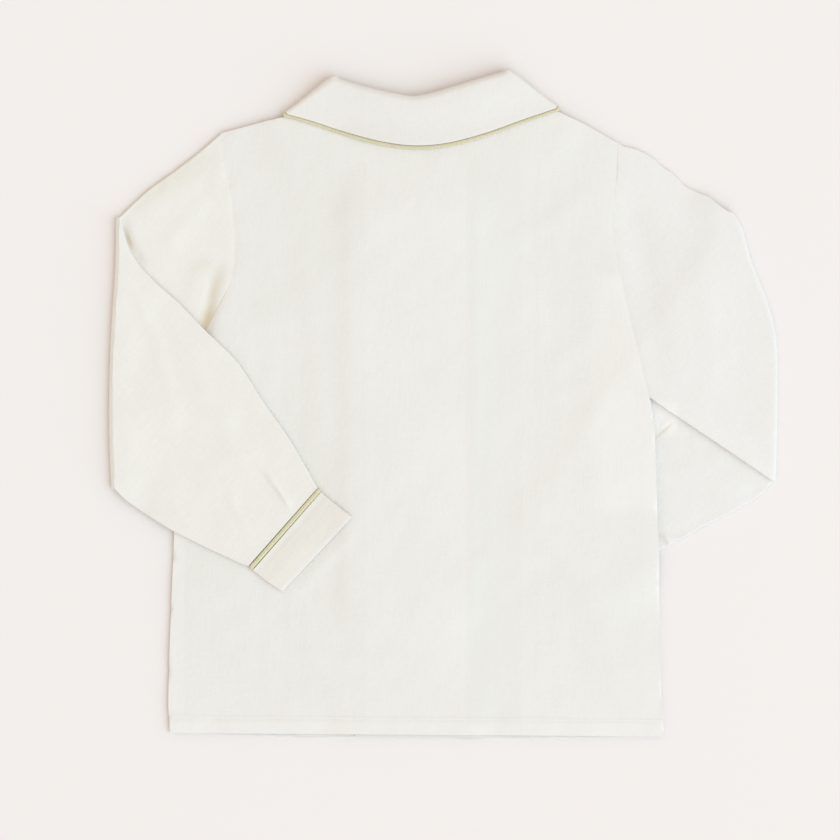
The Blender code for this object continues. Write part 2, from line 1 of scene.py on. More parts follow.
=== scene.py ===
"""The looks of a small child's double-breasted shirt, laid flat with its back up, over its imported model."""

import math
from collections import namedtuple

import bmesh
import bpy
import numpy as np
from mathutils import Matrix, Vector
from mathutils.geometry import delaunay_2d_cdt


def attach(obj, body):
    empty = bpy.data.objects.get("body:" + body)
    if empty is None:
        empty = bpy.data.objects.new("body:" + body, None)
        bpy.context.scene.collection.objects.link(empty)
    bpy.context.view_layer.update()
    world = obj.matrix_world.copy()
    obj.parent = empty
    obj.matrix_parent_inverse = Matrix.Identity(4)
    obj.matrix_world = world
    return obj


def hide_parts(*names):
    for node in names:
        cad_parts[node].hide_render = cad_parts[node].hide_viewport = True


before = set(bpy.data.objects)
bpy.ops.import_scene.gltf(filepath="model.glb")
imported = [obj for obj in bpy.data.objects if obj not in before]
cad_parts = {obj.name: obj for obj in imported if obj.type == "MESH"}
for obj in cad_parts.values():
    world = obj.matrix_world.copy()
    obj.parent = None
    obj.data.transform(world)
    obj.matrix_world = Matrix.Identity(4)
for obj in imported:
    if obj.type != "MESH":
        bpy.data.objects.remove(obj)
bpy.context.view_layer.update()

MM = 0.001  # sizes below are in millimetres, as in the part's own source

# Cloth, as the solids have it
WALL, GAP, LOOSE_GAP = 1, 0.4, 0.8
LAYER = WALL + GAP
TUBE = WALL + GAP + WALL
FOLD = TUBE + GAP / 2
CLOTH = 0.6  # thickness of the shells that stand for the solids
MESH = 2.5  # spacing of a sheet's points
SHARP = math.radians(50)  # edges bent more than this are not shaded smooth
CLOSE = 0.8  # side and shoulder seams draw the layers together over this width

SIDE_LEFT = (
    (-191, -230.4), (-192.4, -212), (-191.8, -180), (-190.4, -142), (-188.3, -89.6), (-186.4, -40),
    (-185.5, 4.2),
)
SIDE_RIGHT = (
    (155, -233), (153.3, -208), (151.9, -161), (151.2, -105), (149.8, -67.2), (148.2, -20),
    (144.9, 4.2),
)
ARMHOLE_LEFT = (
    (-185.5, 4.2), (-165.9, 51.1), (-158.2, 66.5), (-150, 82), (-146.3, 101.5), (-146.3, 121.8),
    (-149, 147.7), (-153.3, 168), (-155.4, 189.7),
)
ARMHOLE_RIGHT = (
    (144.9, 4.2), (132.3, 56), (123.9, 93.8), (119.7, 121.8), (119.7, 140), (123.9, 168),
    (125.3, 181.3),
)
SHOULDER_LEFT, SHOULDER_RIGHT = (-128, 197.2), (102, 194.6)
FRONT_HEM_DROP, HEM_DROP_LEFT, HEM_DROP_RIGHT = 1.9, 115, 155
HEM_DEEP = 11.5  # depth of the turned-up hem
HEM_STITCH, STITCH_SINK = HEM_DEEP - 1.2, 0.5  # its line of stitches, and half the width of a sunk line
HEM_FROM, HEM_TO = -190, 153  # the stretch of the hem that gets rows of points of its own
FACING = 30  # from the outer front's free edge to the stitches of its facing
SEAM_GAP = 0.3

CENTRE = -21
LEFT_EDGE, RIGHT_EDGE = (10.5, 16), (-61.6, -57)  # free edges of the fronts, at the hem and at the top
OVERLAP_TOP = 174
TUCK_OFFSETS, TUCK_WIDTH, TUCK_RISE, TUCK_STEP, TUCK_PROUD = (82, 96, 110), 7.5, 2, 0.7, 0.5
BUTTON_RADIUS, BUTTON_THICK = 6.5, 2
BUTTON_COLUMNS = {"a": CENTRE - 22, "b": CENTRE + 22}
BUTTON_ROWS = (118, 36, -46, -128)

# Collar: where each section rolls over, and its outer edge
STAND = 12
COLLAR_FOLD_LEFT, COLLAR_FOLD_RIGHT = (-74.4, 226.8, -109.8, 202.3), (43, 231.5, 79.6, 206.3)
COLLAR_BACK = (
    (-62, 222.8, -92.4, 197.4), (-48, 218.8, -70, 190), (-34, 215.8, -45, 183.2),
    (-21.5, 213.8, -21, 180), (-8, 216, 3, 181.8), (8, 220.8, 29.4, 188.7), (26, 226.4, 56, 198.2),
)
COLLAR_WING = (
    (-73.6, 216, -109.6, 190), (-69, 203, -103, 172), (-60, 191, -89, 154), (-48, 182, -70, 141),
    (-37, 178, -50, 135.5), (-29.5, 176.8, -34, 141), (-24, 176.5, -25, 155),
)

# Sleeves: over-arm edge, underarm edge, and how far the line between them bows out towards the hand
SLEEVE_LEFT_UPPER = (
    (-171, 176.4, -197, -12, -14), (-188.3, 163.1, -209, -28, -7), (-208, 148.6, -221, -44, -2),
)
FOLD_LEFT = ((-226.6, 131), (-227.3, 95.2), (-230.5, 42.7), (-231.6, -11.2), (-230, -59.6))
SLEEVE_LEFT_FORE = (
    (-218.6, 106.4, -222, -67.5, 2), (-204.5, 88.5, -207, -78, 0), (-184.8, 70.7, -190.4, -88.2, 0),
    (-165.9, 51.1, -176, -95.6, 0), (-144, 29.5, -162, -102.4, 0), (-125.6, 1.5, -151, -107.4, 0),
    (-106.2, -26.6, -142, -111.6, 0), (-87.8, -58.8, -136.2, -113.4, 0),
)
CUFF_LEFT = (
    (-85.3, -61.6, -133.2, -116.4, 0), (-74, -71, -123, -124.5, 0), (-63.4, -79.1, -112.4, -131.4, 0),
)
SLEEVE_RIGHT_UPPER = (
    (137.2, 178, 153, -1.6, -10.5), (147.2, 172.4, 161, -7, -8.8), (154, 166.2, 167, -11, -7.2),
    (160.5, 162.2, 172.5, -14.7, -5.6), (168.9, 153.6, 179.5, -19.4, -3.4),
    (177.2, 149, 186.5, -24.1, -1), (187, 144.8, 195, -29.8, 3), (194.2, 138.6, 202, -34.5, 5.8),
)
FOLD_RIGHT = (
    (200, 134.8), (206.6, 124.6), (213.8, 99.8), (224.8, 71.8), (231.2, 42), (231.6, -11), (230.6, -54),
)
SLEEVE_RIGHT_FORE = (
    (198, 108, 221, -65, 10), (184, 88, 204.5, -74.5, 4), (168, 66, 182.5, -86, 0),
    (150, 43, 168, -94, 0), (132, 17, 155, -100.6, 0), (116, -9, 147, -104.6, 0),
    (101, -33, 141, -107.6, 0), (87.6, -54, 136.4, -109.4, 0),
)
CUFF_RIGHT = (
    (85.2, -56.8, 133.6, -112.4, 0), (73.5, -66, 123, -119.6, 0), (63, -74.2, 112.2, -126.2, 0),
)

# How far cloth takes to come down beside a form below it, and how far it stays up first
COLLAR_RAMP, BAND_RAMP, FOREARM_RAMP, BUTTON_RAMP, TUCK_RAMP, EDGE_RAMP = 24, 22, 30, 36, 24, 18
BUTTON_FLAT, SPARE = 13, 5

# Points and rows of the sleeves, the cuffs and the collar
ACROSS, UPPER_ROWS, FORE_ROWS, CUFF_ROWS, TURN_STEPS = 72, 40, 64, 16, 12
FORE_EDGE_SHIFT, FORE_EDGE_ROWS = 0.22, 12  # how far a forearm's edges leave its middle height, and how soon
CUFF_CLOTH = 0.9  # a cuff is two layers thick
CORD_SIDES, STRAND_SIDES = 12, 6
CUFF_CORD_HALF, CUFF_CORD_HIGH, COLLAR_CORD_HALF, COLLAR_INSET = 1.58, 0.75, 1.4, 0.75
ROLL_TOP, ROLL_SPRING = 1, 4.9  # how far in from the collar's roll its highest place is, and how high

STITCH_LONG, STITCH_PITCH, STITCH_THICK = 2.3, 3, 0.36
HOLE_OFF, HOLE_RADIUS = 1.55, 0.8
HOLES = [(HOLE_OFF * a, HOLE_OFF * b) for a in (-1, 1) for b in (-1, 1)]


# Curves and areas, as arrays of points


def curve(places, count):
    """count + 1 rows, evenly spaced along a smooth curve through rows of numbers."""
    k = np.array(places, float)
    k = np.vstack((2 * k[0] - k[1], k, 2 * k[-1] - k[-2]))
    fine = []
    for a, b, c, d in zip(k, k[1:], k[2:], k[3:]):
        for t in np.arange(16) / 16:
            square, cube = 2 * a - 5 * b + 4 * c - d, 3 * b - a - 3 * c + d
            fine.append(b + ((c - a) * t + square * t**2 + cube * t**3) / 2)
    return evenly(np.vstack((fine, k[-2])), count)


def lengths(line):
    """How far along a polyline each of its points is."""
    return np.concatenate(([0], np.cumsum(np.linalg.norm(np.diff(line, axis=0), axis=1))))


def evenly(line, count):
    """count + 1 points, evenly spaced along a polyline."""
    along = lengths(line)
    want = np.linspace(0, along[-1], count + 1)
    return np.stack([np.interp(want, along, line[:, k]) for k in range(line.shape[1])], axis=1)


def unit(v):
    """A direction with length 1, or each row of an array of them."""
    return v / np.maximum(np.linalg.norm(v, axis=-1, keepdims=True), 1e-9)


def closed(outline):
    return np.vstack((outline, outline[:1]))


def spaced(line, spacing):
    """A polyline's own points, with more between them where they are far apart."""
    made = []
    for a, b in zip(line, line[1:]):
        n = max(1, round(float(np.linalg.norm(b - a)) / spacing))
        made += [a + (b - a) * k / n for k in range(n)]
    return np.array(made + [line[-1]])


def near(line, x, y):
    """Distance from each place to a polyline, which side of it the place is on, and how far along."""
    line = np.asarray(line, float)
    best, side, share = np.full(np.shape(x), 1e9), np.zeros(np.shape(x)), np.zeros(np.shape(x))
    before = lengths(line)
    for a, b, start in zip(line, line[1:], before):
        step = np.linalg.norm(b - a)
        if step < 1e-9:
            continue
        ux, uy = (b - a) / step
        dx, dy = x - a[0], y - a[1]
        t = np.clip(dx * ux + dy * uy, 0, step)
        d = np.hypot(dx - t * ux, dy - t * uy)
        closer = d < best
        best = np.where(closer, d, best)
        side = np.where(closer, np.sign(ux * dy - uy * dx), side)
        share = np.where(closer, (start + t) / before[-1], share)
    return best, side, share


def outside(polygon, x, y):
    """How far each place is outside a closed polygon, 0 inside it."""
    inside = np.zeros(np.shape(x), bool)
    for a, b in zip(polygon, np.roll(polygon, -1, axis=0)):
        if a[1] != b[1]:
            crosses = ((a[1] > y) != (b[1] > y)) & (x < a[0] + (b[0] - a[0]) * (y - a[1]) / (b[1] - a[1]))
            inside ^= crosses
    return np.where(inside, 0, near(closed(polygon), x, y)[0])


def eased(share):
    """0 to 1, with a soft start and end."""
    share = np.clip(share, 0, 1)
    return share * share * (3 - 2 * share)


def bell(distance, width):
    """1 at 0, and near 0 from about twice the width on."""
    return np.exp(-((distance / width) ** 2))


def lift(distance, ramp):
    """1 on a form that lies below, and 0 where the cloth has come down beside it."""
    return 1 - eased((distance - SPARE) / ramp)


def rounded(distance, width):
    """0 at an edge, growing to 1 as a quarter circle does."""
    share = np.clip(distance / width, 0, 1)
    return np.sqrt(1 - (1 - share) ** 2)


def sleeve_line(row, count=10):
    """A line across a sleeve, from its over-arm edge to its underarm edge."""
    over, under = np.array(row[0:2]), np.array(row[2:4])
    down = unit(under - over)
    out = np.array((down[1], -down[0]))
    if (out[0] > 0) != (row[0] > CENTRE):
        out = -out
    t = np.linspace(0, 1, count + 1)[:, None]
    return over + (under - over) * t + out * row[4] * 4 * t * (1 - t)


def strip_plan(lines):
    """The outline of a strip, given as lines across it."""
    down, up = [m[-1] for m in lines[1:-1]], [m[0] for m in lines[-2:0:-1]]
    return np.vstack((lines[0], down, lines[-1][::-1], up))


def mirrored_wing():
    """The collar's left wing, mirrored and moved over to the fold at the right."""
    left, right = COLLAR_FOLD_LEFT, COLLAR_FOLD_RIGHT
    shift = np.array((right[0] + left[0] - 2 * CENTRE, right[1] - left[1]))
    rows = []
    for k, s in enumerate(COLLAR_WING, 1):
        x, y = shift * (1 - k / len(COLLAR_WING))
        rows.append((2 * CENTRE - s[0] + x, s[1] + y, 2 * CENTRE - s[2] + x, s[3] + y))
    return tuple(rows)


def section_axes(s):
    """Directions of a section of the collar: along it from its fold, and across it, up the page."""
    away = unit(np.array((s[2] - s[0], s[3] - s[1])))
    across = np.array((-away[1], away[0]))
    return away, across if across[1] > 0 else -across


WING_RIGHT = mirrored_wing()
HOLE_LEFT, HOLE_RIGHT = curve(ARMHOLE_LEFT[::-1], 72), curve(ARMHOLE_RIGHT[::-1], 72)
CREASE_LEFT, CREASE_RIGHT = curve(FOLD_LEFT, 72), curve(FOLD_RIGHT, 72)
COLLAR_PLAN = np.array(
    [COLLAR_FOLD_LEFT[:2], COLLAR_FOLD_LEFT[2:]]
    + [s[2:] for s in COLLAR_WING]
    + [s[2:] for s in WING_RIGHT[::-1]]
    + [COLLAR_FOLD_RIGHT[2:], COLLAR_FOLD_RIGHT[:2]]
)
FOREARM_PLAN = strip_plan([CREASE_RIGHT[::4]] + [sleeve_line(row) for row in SLEEVE_RIGHT_FORE + CUFF_RIGHT])
UPPER_SLEEVE_PLAN = np.vstack((HOLE_LEFT[::4], CREASE_LEFT[::-4]))


def neck_point(s):
    """Where the back or a front is sewn to this section of the collar."""
    return np.array(s[:2]) + section_axes(s)[0] * (STAND + SEAM_GAP)


def hem_y(x):
    (ax, ay), (bx, by) = SIDE_LEFT[0], SIDE_RIGHT[0]
    return ay + (by - ay) * (x - ax) / (bx - ax)


def front_hem_y(x):
    left, right = eased((x - SIDE_LEFT[0][0]) / HEM_DROP_LEFT), eased((SIDE_RIGHT[0][0] - x) / HEM_DROP_RIGHT)
    return hem_y(x) - FRONT_HEM_DROP * left * right


def free_edge(edge, y):
    share = (y - SIDE_LEFT[0][1]) / (OVERLAP_TOP - SIDE_LEFT[0][1])
    return edge[0] + (edge[1] - edge[0]) * np.clip(share, 0, 1)


def shoulder_line(fold, shoulder):
    """From the neck along inside the collar's fold, and out along the shoulder."""
    return np.array([neck_point(fold), np.array(fold[2:]) - section_axes(fold)[1] * WALL, shoulder])


SHOULDERS = shoulder_line(COLLAR_FOLD_LEFT, SHOULDER_LEFT), shoulder_line(COLLAR_FOLD_RIGHT, SHOULDER_RIGHT)
EDGE_LEFT, EDGE_RIGHT = curve(SIDE_LEFT, 90), curve(SIDE_RIGHT, 90)


def back_outline(right):
    """The back's outline, with this line in place of the right armhole."""
    hem = np.array([(x, hem_y(x)) for x in np.linspace(SIDE_LEFT[0][0], SIDE_RIGHT[0][0], 140)])
    neck = curve([neck_point(s) for s in (COLLAR_FOLD_RIGHT,) + COLLAR_BACK[::-1] + (COLLAR_FOLD_LEFT,)], 60)
    shoulder_left, shoulder_right = spaced(SHOULDERS[0], MESH), spaced(SHOULDERS[1][::-1], MESH)
    up = hem, EDGE_RIGHT[1:-1], right, shoulder_right[1:-1], neck
    return np.vstack((*up, shoulder_left[1:-1], HOLE_LEFT, EDGE_LEFT[::-1][1:-1]))


BACK_PLAN = back_outline(HOLE_RIGHT[::-1])
UNDER_ARM, OVER_ARM = [r[2:4] for r in SLEEVE_RIGHT_UPPER], [r[0:2] for r in SLEEVE_RIGHT_UPPER[::-1]]
WITH_SLEEVE = back_outline(
    np.vstack((ARMHOLE_RIGHT[:1], UNDER_ARM, CREASE_RIGHT[::-4], OVER_ARM, ARMHOLE_RIGHT[-1:]))
)


# Heights on a grid over the whole shirt


class Field:
    """Heights known on a grid, read at any places."""

    START, STEP, COUNT = -258, 1.5, 345
    X, Y = np.meshgrid(START + STEP * np.arange(COUNT), START + STEP * np.arange(COUNT))

    def __init__(self, values):
        self.values = values

    def __call__(self, x, y):
        u = np.clip((np.asarray(x) - self.START) / self.STEP, 0, self.COUNT - 1.001)
        v = np.clip((np.asarray(y) - self.START) / self.STEP, 0, self.COUNT - 1.001)
        i, j = u.astype(int), v.astype(int)
        s, t = u - i, v - j
        g = self.values
        low = g[j, i] * (1 - s) + g[j, i + 1] * s
        return low * (1 - t) + (g[j + 1, i] * (1 - s) + g[j + 1, i + 1] * s) * t


GX, GY = Field.X, Field.Y


def front_heights():
    """How high the collar's wings, the right forearm, the tucks and the buttons hold the fronts."""
    height = LAYER * lift(outside(COLLAR_PLAN, GX, GY), COLLAR_RAMP)
    height += (TUBE + GAP) * lift(outside(FOREARM_PLAN, GX, GY), FOREARM_RAMP)
    across = np.abs(GX - CENTRE)
    beside = np.maximum(TUCK_OFFSETS[0] - across, across - TUCK_OFFSETS[-1] - TUCK_WIDTH)
    height += TUCK_PROUD * lift(np.maximum(beside, 0), TUCK_RAMP)
    beside = np.maximum(np.maximum(BUTTON_COLUMNS["a"] - GX, GX - BUTTON_COLUMNS["b"]), 0)
    beyond = np.maximum(np.maximum(BUTTON_ROWS[-1] - GY, GY - BUTTON_ROWS[0]), 0)
    return height + (BUTTON_THICK + GAP) * lift(np.hypot(beside, beyond) - BUTTON_FLAT, BUTTON_RAMP)


def ripple(seed, waves, longest, shortest):
    """A gentle unevenness between about -1 and 1, the same every time."""
    rng = np.random.default_rng(seed)
    total = np.zeros_like(GX)
    for _ in range(waves):
        length, turn = rng.uniform(shortest, longest), rng.uniform(0, math.pi)
        across = GX * math.cos(turn) + GY * math.sin(turn)
        total += np.sin(across * 2 * math.pi / length + rng.uniform(0, 2 * math.pi))
    return total / math.sqrt(waves / 2) / 2


Crease = namedtuple("Crease", "height width points skew", defaults=(1,))


def creased(rows):
    """Soft ridges and troughs. height is at the crest, width is from the crest to level, and skew above 1
    makes the side to the right of the line, seen along it, steeper by that much."""
    total = np.zeros_like(GX)
    for row in rows:
        line = curve(row.points, 24) if len(row.points) > 2 else np.array(row.points, float)
        d, side, share = near(line, GX, GY)
        reach = np.where(side < 0, row.width / row.skew, row.width) / 1.6
        total += row.height * bell(d, reach) * eased(4 * share) * eased(4 * (1 - share))
    return total


def smoothed(values, reach):
    """Blurred with a bell of this many millimetres, edges held."""
    n = int(reach * 3 / Field.STEP)
    weights = np.exp(-((np.arange(-n, n + 1) * Field.STEP / reach) ** 2) / 2)
    weights /= weights.sum()
    for axis in (0, 1):
        padded = np.pad(values, [(n, n) if k == axis else (0, 0) for k in (0, 1)], mode="edge")
        values = np.apply_along_axis(lambda row: np.convolve(row, weights, mode="valid"), axis, padded)
    return values


FRONT = Field(front_heights())
BESIDE_LEFT_EDGE = np.maximum(GX - free_edge(LEFT_EDGE, GY), 0)
BESIDE_BOTH = np.maximum(BESIDE_LEFT_EDGE, free_edge(RIGHT_EDGE, GY) - GX)
ABOVE_OVERLAP = np.maximum(GY - OVERLAP_TOP, 0)
INNER_FRONT = Field(FRONT.values + LAYER * lift(np.hypot(BESIDE_LEFT_EDGE, ABOVE_OVERLAP), BAND_RAMP))
BACK = Field(FRONT.values + LAYER + LAYER * lift(np.hypot(BESIDE_BOTH, ABOVE_OVERLAP), BAND_RAMP))
SEAMS = [EDGE_LEFT, EDGE_RIGHT, SHOULDERS[0], SHOULDERS[1]]
TO_CLOSING = Field(np.minimum.reduce([near(line, GX, GY)[0] for line in SEAMS]))
ON_ARMHOLE = Field(np.minimum(near(HOLE_LEFT, GX, GY)[0], near(HOLE_RIGHT, GX, GY)[0]))

# The cloth on top: the back and the upper sleeves, which are sewn to it
TOP_CREASES = (
    Crease(0.6, 9, ((-172, 100), (-174, 84), (-180, 64))),
    Crease(0.8, 15, ((-147, 100), (-150, 84), (-155.5, 67), (-160, 54))),
    Crease(0.5, 10, ((-162, 150), (-182, 126), (-196, 104))),
    Crease(0.4, 8, ((-186, 160), (-200, 144), (-214, 134))),
    Crease(0.5, 9, ((-150, 176), (-158, 158), (-160, 138))),
    Crease(-0.9, 18, ((126, 166), (138, 110), (149, 50), (154, 4))),
    Crease(0.4, 14, ((178, 112), (186, 62), (190, 6))),
    Crease(1.2, 12, ((128, 20), (150, 4), (186, -22), (236, -60))),
    Crease(0.6, 8, ((-114, -145), (-97, -125.5), (-75, -102), (-53, -78))),
    Crease(0.5, 16, ((-100, 150), (-92, 60), (-84, -60))),
    Crease(0.4, 12, ((-160, -120), (-110, -172), (-30, -182))),
    Crease(0.4, 12, ((104, 150), (70, 124), (30, 112))),
)
TOP_TROUGHS = (
    Crease(-1.6, 6.5, ((-156.5, 104), (-158.5, 92), (-161.5, 78), (-164, 62), (-168.5, 38))),
    Crease(-1.6, 4.5, ((-225, 133), (-222.5, 122), (-217, 108), (-208, 96))),
)
OFF_TOP = outside(BACK_PLAN, GX, GY)
INSIDE = np.where(outside(WITH_SLEEVE, GX, GY) > 0, 0, near(closed(WITH_SLEEVE), GX, GY)[0])


def top_heights():
    """The cloth bridges the hollows between what lies below it, and keeps to the layers at its edges."""
    bridged = smoothed(BACK.values, 24) + 0.3
    over = (BACK.values + bridged + np.sqrt((BACK.values - bridged) ** 2 + 0.3)) / 2
    height = BACK.values + (over - BACK.values) * eased(INSIDE / 45) + WALL
    calm = 1 - 0.6 * eased((GX - 110) / 30)
    return height + creased(TOP_CREASES) + 0.16 * (1 + calm * ripple(3, 34, 60, 14))


LEVEL_TOP = top_heights()
TOP = Field(LEVEL_TOP + creased(TOP_TROUGHS))
OFF_BOTH = np.minimum(OFF_TOP, outside(UPPER_SLEEVE_PLAN, GX, GY))
OVER = Field(smoothed((LEVEL_TOP + LOOSE_GAP) * lift(OFF_BOTH, 2.2 * EDGE_RAMP), 4))


# Building sheets of cloth


def body_faces(x, y):
    """The lowest face of the body's layers and the highest, and how far open they are beside a seam."""
    return FRONT(x, y), TOP(x, y), rounded(TO_CLOSING(x, y), CLOSE)


def hem_turn(above_hem):
    """How much thicker the cloth is where the hem is turned up."""
    return 0.3 * (1 - eased((above_hem - HEM_DEEP) / 0.8))


def seam_groove(x, y, reach):
    """An armhole seam is sunk, and the cloth comes up from it over this reach."""
    return -0.3 * np.exp(-ON_ARMHOLE(x, y) / reach)


def back_top(x, y):
    low, high, open_by = body_faces(x, y)
    middle = (low + high) / 2 + 0.2
    above_hem = y - hem_y(x)
    hem = hem_turn(above_hem) - 0.25 * bell(above_hem - HEM_STITCH, STITCH_SINK)
    return middle + (high + hem - middle) * open_by + seam_groove(x, y, 2.6)


def back_bottom(x, y):
    open_by = body_faces(x, y)[2]
    thick = CLOTH + hem_turn(y - hem_y(x))
    return back_top(x, y) - 0.2 - (thick - 0.2) * open_by


def on_tuck(x):
    """1 on a tuck, with a rise at the side that is sewn."""
    across = np.abs(x - CENTRE)
    total = np.zeros_like(across)
    for start in TUCK_OFFSETS:
        inside = (across >= start) & (across < start + TUCK_WIDTH + 0.3)
        total = np.where(inside, eased((across - start) / TUCK_RISE), total)
    return total


FRONT_RIPPLE = Field(0.1 * (1 + ripple(8, 22, 70, 24)))


def front_bottom(x, y, base):
    hem_line = 0.2 * bell(y - front_hem_y(x) - HEM_STITCH, STITCH_SINK)
    stitched = sum(bell(np.abs(x - CENTRE) - start, STITCH_SINK) for start in TUCK_OFFSETS)
    z = base(x, y) - TUCK_PROUD * on_tuck(x) + 0.15 * stitched + hem_line + FRONT_RIPPLE(x, y)
    low, high, open_by = body_faces(x, y)
    middle = (low + high) / 2
    return middle - 0.2 + (z - middle + 0.2) * open_by


def front_top(x, y, base):
    open_by = body_faces(x, y)[2]
    return front_bottom(x, y, base) + 0.15 + (CLOTH - 0.15) * open_by


def grid_inside(outline, clear):
    """Points in a close pattern inside an outline, at least this far from it."""
    xs = np.arange(outline[:, 0].min(), outline[:, 0].max(), MESH)
    ys = np.arange(outline[:, 1].min(), outline[:, 1].max(), MESH * 0.9)
    x, y = np.meshgrid(xs, ys)
    x = x + (np.arange(len(ys)) % 2)[:, None] * MESH / 2
    x, y = x.ravel(), y.ravel()
    keep = outside(outline, x, y) == 0
    x, y = x[keep], y[keep]
    keep = near(closed(outline), x, y)[0] > clear
    return np.column_stack((x[keep], y[keep]))


def inset(line, distance):
    """A closed outline's points moved inwards; the outline runs anticlockwise."""
    along = unit(np.roll(line, -1, axis=0) - np.roll(line, 1, axis=0))
    return line + np.column_stack((-along[:, 1], along[:, 0])) * distance


def place(name, data, where=(0, 0, 0), aim=None):
    """A new object with this data, put where it belongs and turned to face along aim."""
    obj = bpy.data.objects.new(name, data)
    obj.location = where
    if aim:
        obj.rotation_mode = "QUATERNION"
        obj.rotation_quaternion = Vector(aim).to_track_quat("-Z", "Y")
    bpy.context.scene.collection.objects.link(obj)
    return obj


def make_object(name, verts, faces, material):
    mesh = bpy.data.meshes.new(name)
    places = [tuple(float(c) * MM for c in v) for v in verts]
    mesh.from_pydata(places, [], [tuple(int(k) for k in f) for f in faces])
    mesh.validate()
    bm = bmesh.new()
    bm.from_mesh(mesh)
    bmesh.ops.recalc_face_normals(bm, faces=bm.faces[:])
    bm.to_mesh(mesh)
    bm.free()
    mesh.polygons.foreach_set("use_smooth", [True] * len(mesh.polygons))
    mesh.set_sharp_from_angle(angle=SHARP)
    mesh.materials.append(material)
    return place(name, mesh)


def two_faced(flat, faces, top, bottom):
    """A closed shell of the same faces at two heights, with walls where they end."""
    n = len(flat)
    verts = np.vstack((np.column_stack((flat, top)), np.column_stack((flat, bottom))))
    made = [tuple(f) for f in faces] + [tuple(n + k for k in reversed(f)) for f in faces]
    directed = {(a, b) for f in faces for a, b in zip(f, f[1:] + f[:1])}
    return verts, made + [(b, a, n + a, n + b) for a, b in directed if (b, a) not in directed]


def ring_faces(count, sides, base=0, around=False):
    """Faces between each ring of points and the next, and from the last to the first if it goes around."""
    faces = []
    for i in range(count if around else count - 1):
        for s in range(sides):
            j, t = (i + 1) % count, (s + 1) % sides
            faces.append([base + k for k in (i * sides + s, i * sides + t, j * sides + t, j * sides + s)])
    return faces


def flat_sheet(name, outline, top, bottom, material, features):
    """A shell of cloth between two heights. features are lines that get rows of points of their own."""
    rim = inset(outline, 0.5)
    extra = [rim[outside(outline, rim[:, 0], rim[:, 1]) == 0]]
    inner = grid_inside(outline, 1.6)
    for line in features:
        line = line[outside(outline, line[:, 0], line[:, 1]) == 0]
        line = line[near(closed(outline), line[:, 0], line[:, 1])[0] > 0.9]
        if len(line):
            extra.append(line)
            inner = inner[near(line, inner[:, 0], inner[:, 1])[0] > 0.6] if len(line) > 1 else inner
    points = [Vector(p) for p in np.vstack([outline] + extra + [inner])]
    flat, _, faces, *_ = delaunay_2d_cdt(points, [], [list(range(len(outline)))], 1, 1e-5)
    flat = np.array([tuple(p) for p in flat])
    x, y = flat[:, 0], flat[:, 1]
    return make_object(name, *two_faced(flat, faces, top(x, y), bottom(x, y)), material)


def along_x(y_of, low, high, offsets):
    """Rows of points beside a line that runs along X."""
    x = np.linspace(low, high, int((high - low) / MESH))
    return [np.column_stack((x, y_of(x) + off)) for off in offsets]


def beside(line, offsets):
    """Rows of points beside a polyline."""
    along = unit(np.gradient(line, axis=0))
    out = np.column_stack((along[:, 1], -along[:, 0]))
    return [line + out * off for off in offsets]


def front_outline(left):
    """One front, from its side seam along the hem to its free edge, and back by the neck."""
    if left:
        side, hole, edge, shoulder = EDGE_LEFT, HOLE_LEFT, LEFT_EDGE, SHOULDERS[0]
        collar = (COLLAR_FOLD_LEFT,) + COLLAR_WING + WING_RIGHT[::-1]
    else:
        side, hole, edge, shoulder = EDGE_RIGHT, HOLE_RIGHT, RIGHT_EDGE, SHOULDERS[1]
        collar = (COLLAR_FOLD_RIGHT,) + WING_RIGHT + COLLAR_WING[::-1]
    neck = curve([neck_point(s) for s in collar], 80)
    past = (1 if left else -1) * (neck[:, 0] - free_edge(edge, neck[:, 1])) >= -1
    if past.any():
        neck = neck[: int(np.argmax(past))]
    x = np.linspace(side[0][0], free_edge(edge, SIDE_LEFT[0][1]), 90)
    hem = np.column_stack((x, front_hem_y(x)))
    y = np.linspace(hem[-1][1], neck[-1][1], 160)[1:]
    front = np.column_stack((free_edge(edge, y), y))
    line = np.vstack((hem, front, neck[::-1], spaced(shoulder, MESH)[1:-1], hole, side[::-1][1:-1]))
    return line if left else line[::-1]


# Sleeves and cuffs: flat tubes through lines across them

NEAR_EDGE = np.array((0, 0.0015, 0.0035, 0.0065, 0.011))
SPREAD = np.concatenate((NEAR_EDGE, np.linspace(0.022, 0.978, 72), 1 - NEAR_EDGE[::-1]))
# How full the left and the right fold are: 1 rolls over in half a circle, less is nearer to a pressed box
FULLNESS = {-1: 0.9, 1: 0.5}
SLEEVE_ROUND = 0.9  # the walls close over this width at a sleeve's long edges


def loft(lines, count):
    """Lines evenly spaced through a few lines of as many points."""
    rows = np.stack(lines)
    flat = curve(rows.reshape(len(rows), -1), count)
    return flat.reshape(count + 1, rows.shape[1], rows.shape[2])


def respread(line):
    t = np.linspace(0, 1, len(line))
    return np.stack([np.interp(SPREAD, t, line[:, k]) for k in range(2)], axis=1)


def to_ends(line):
    """Distance along a line to its nearer end."""
    along = lengths(line)
    return np.minimum(along, along[-1] - along)


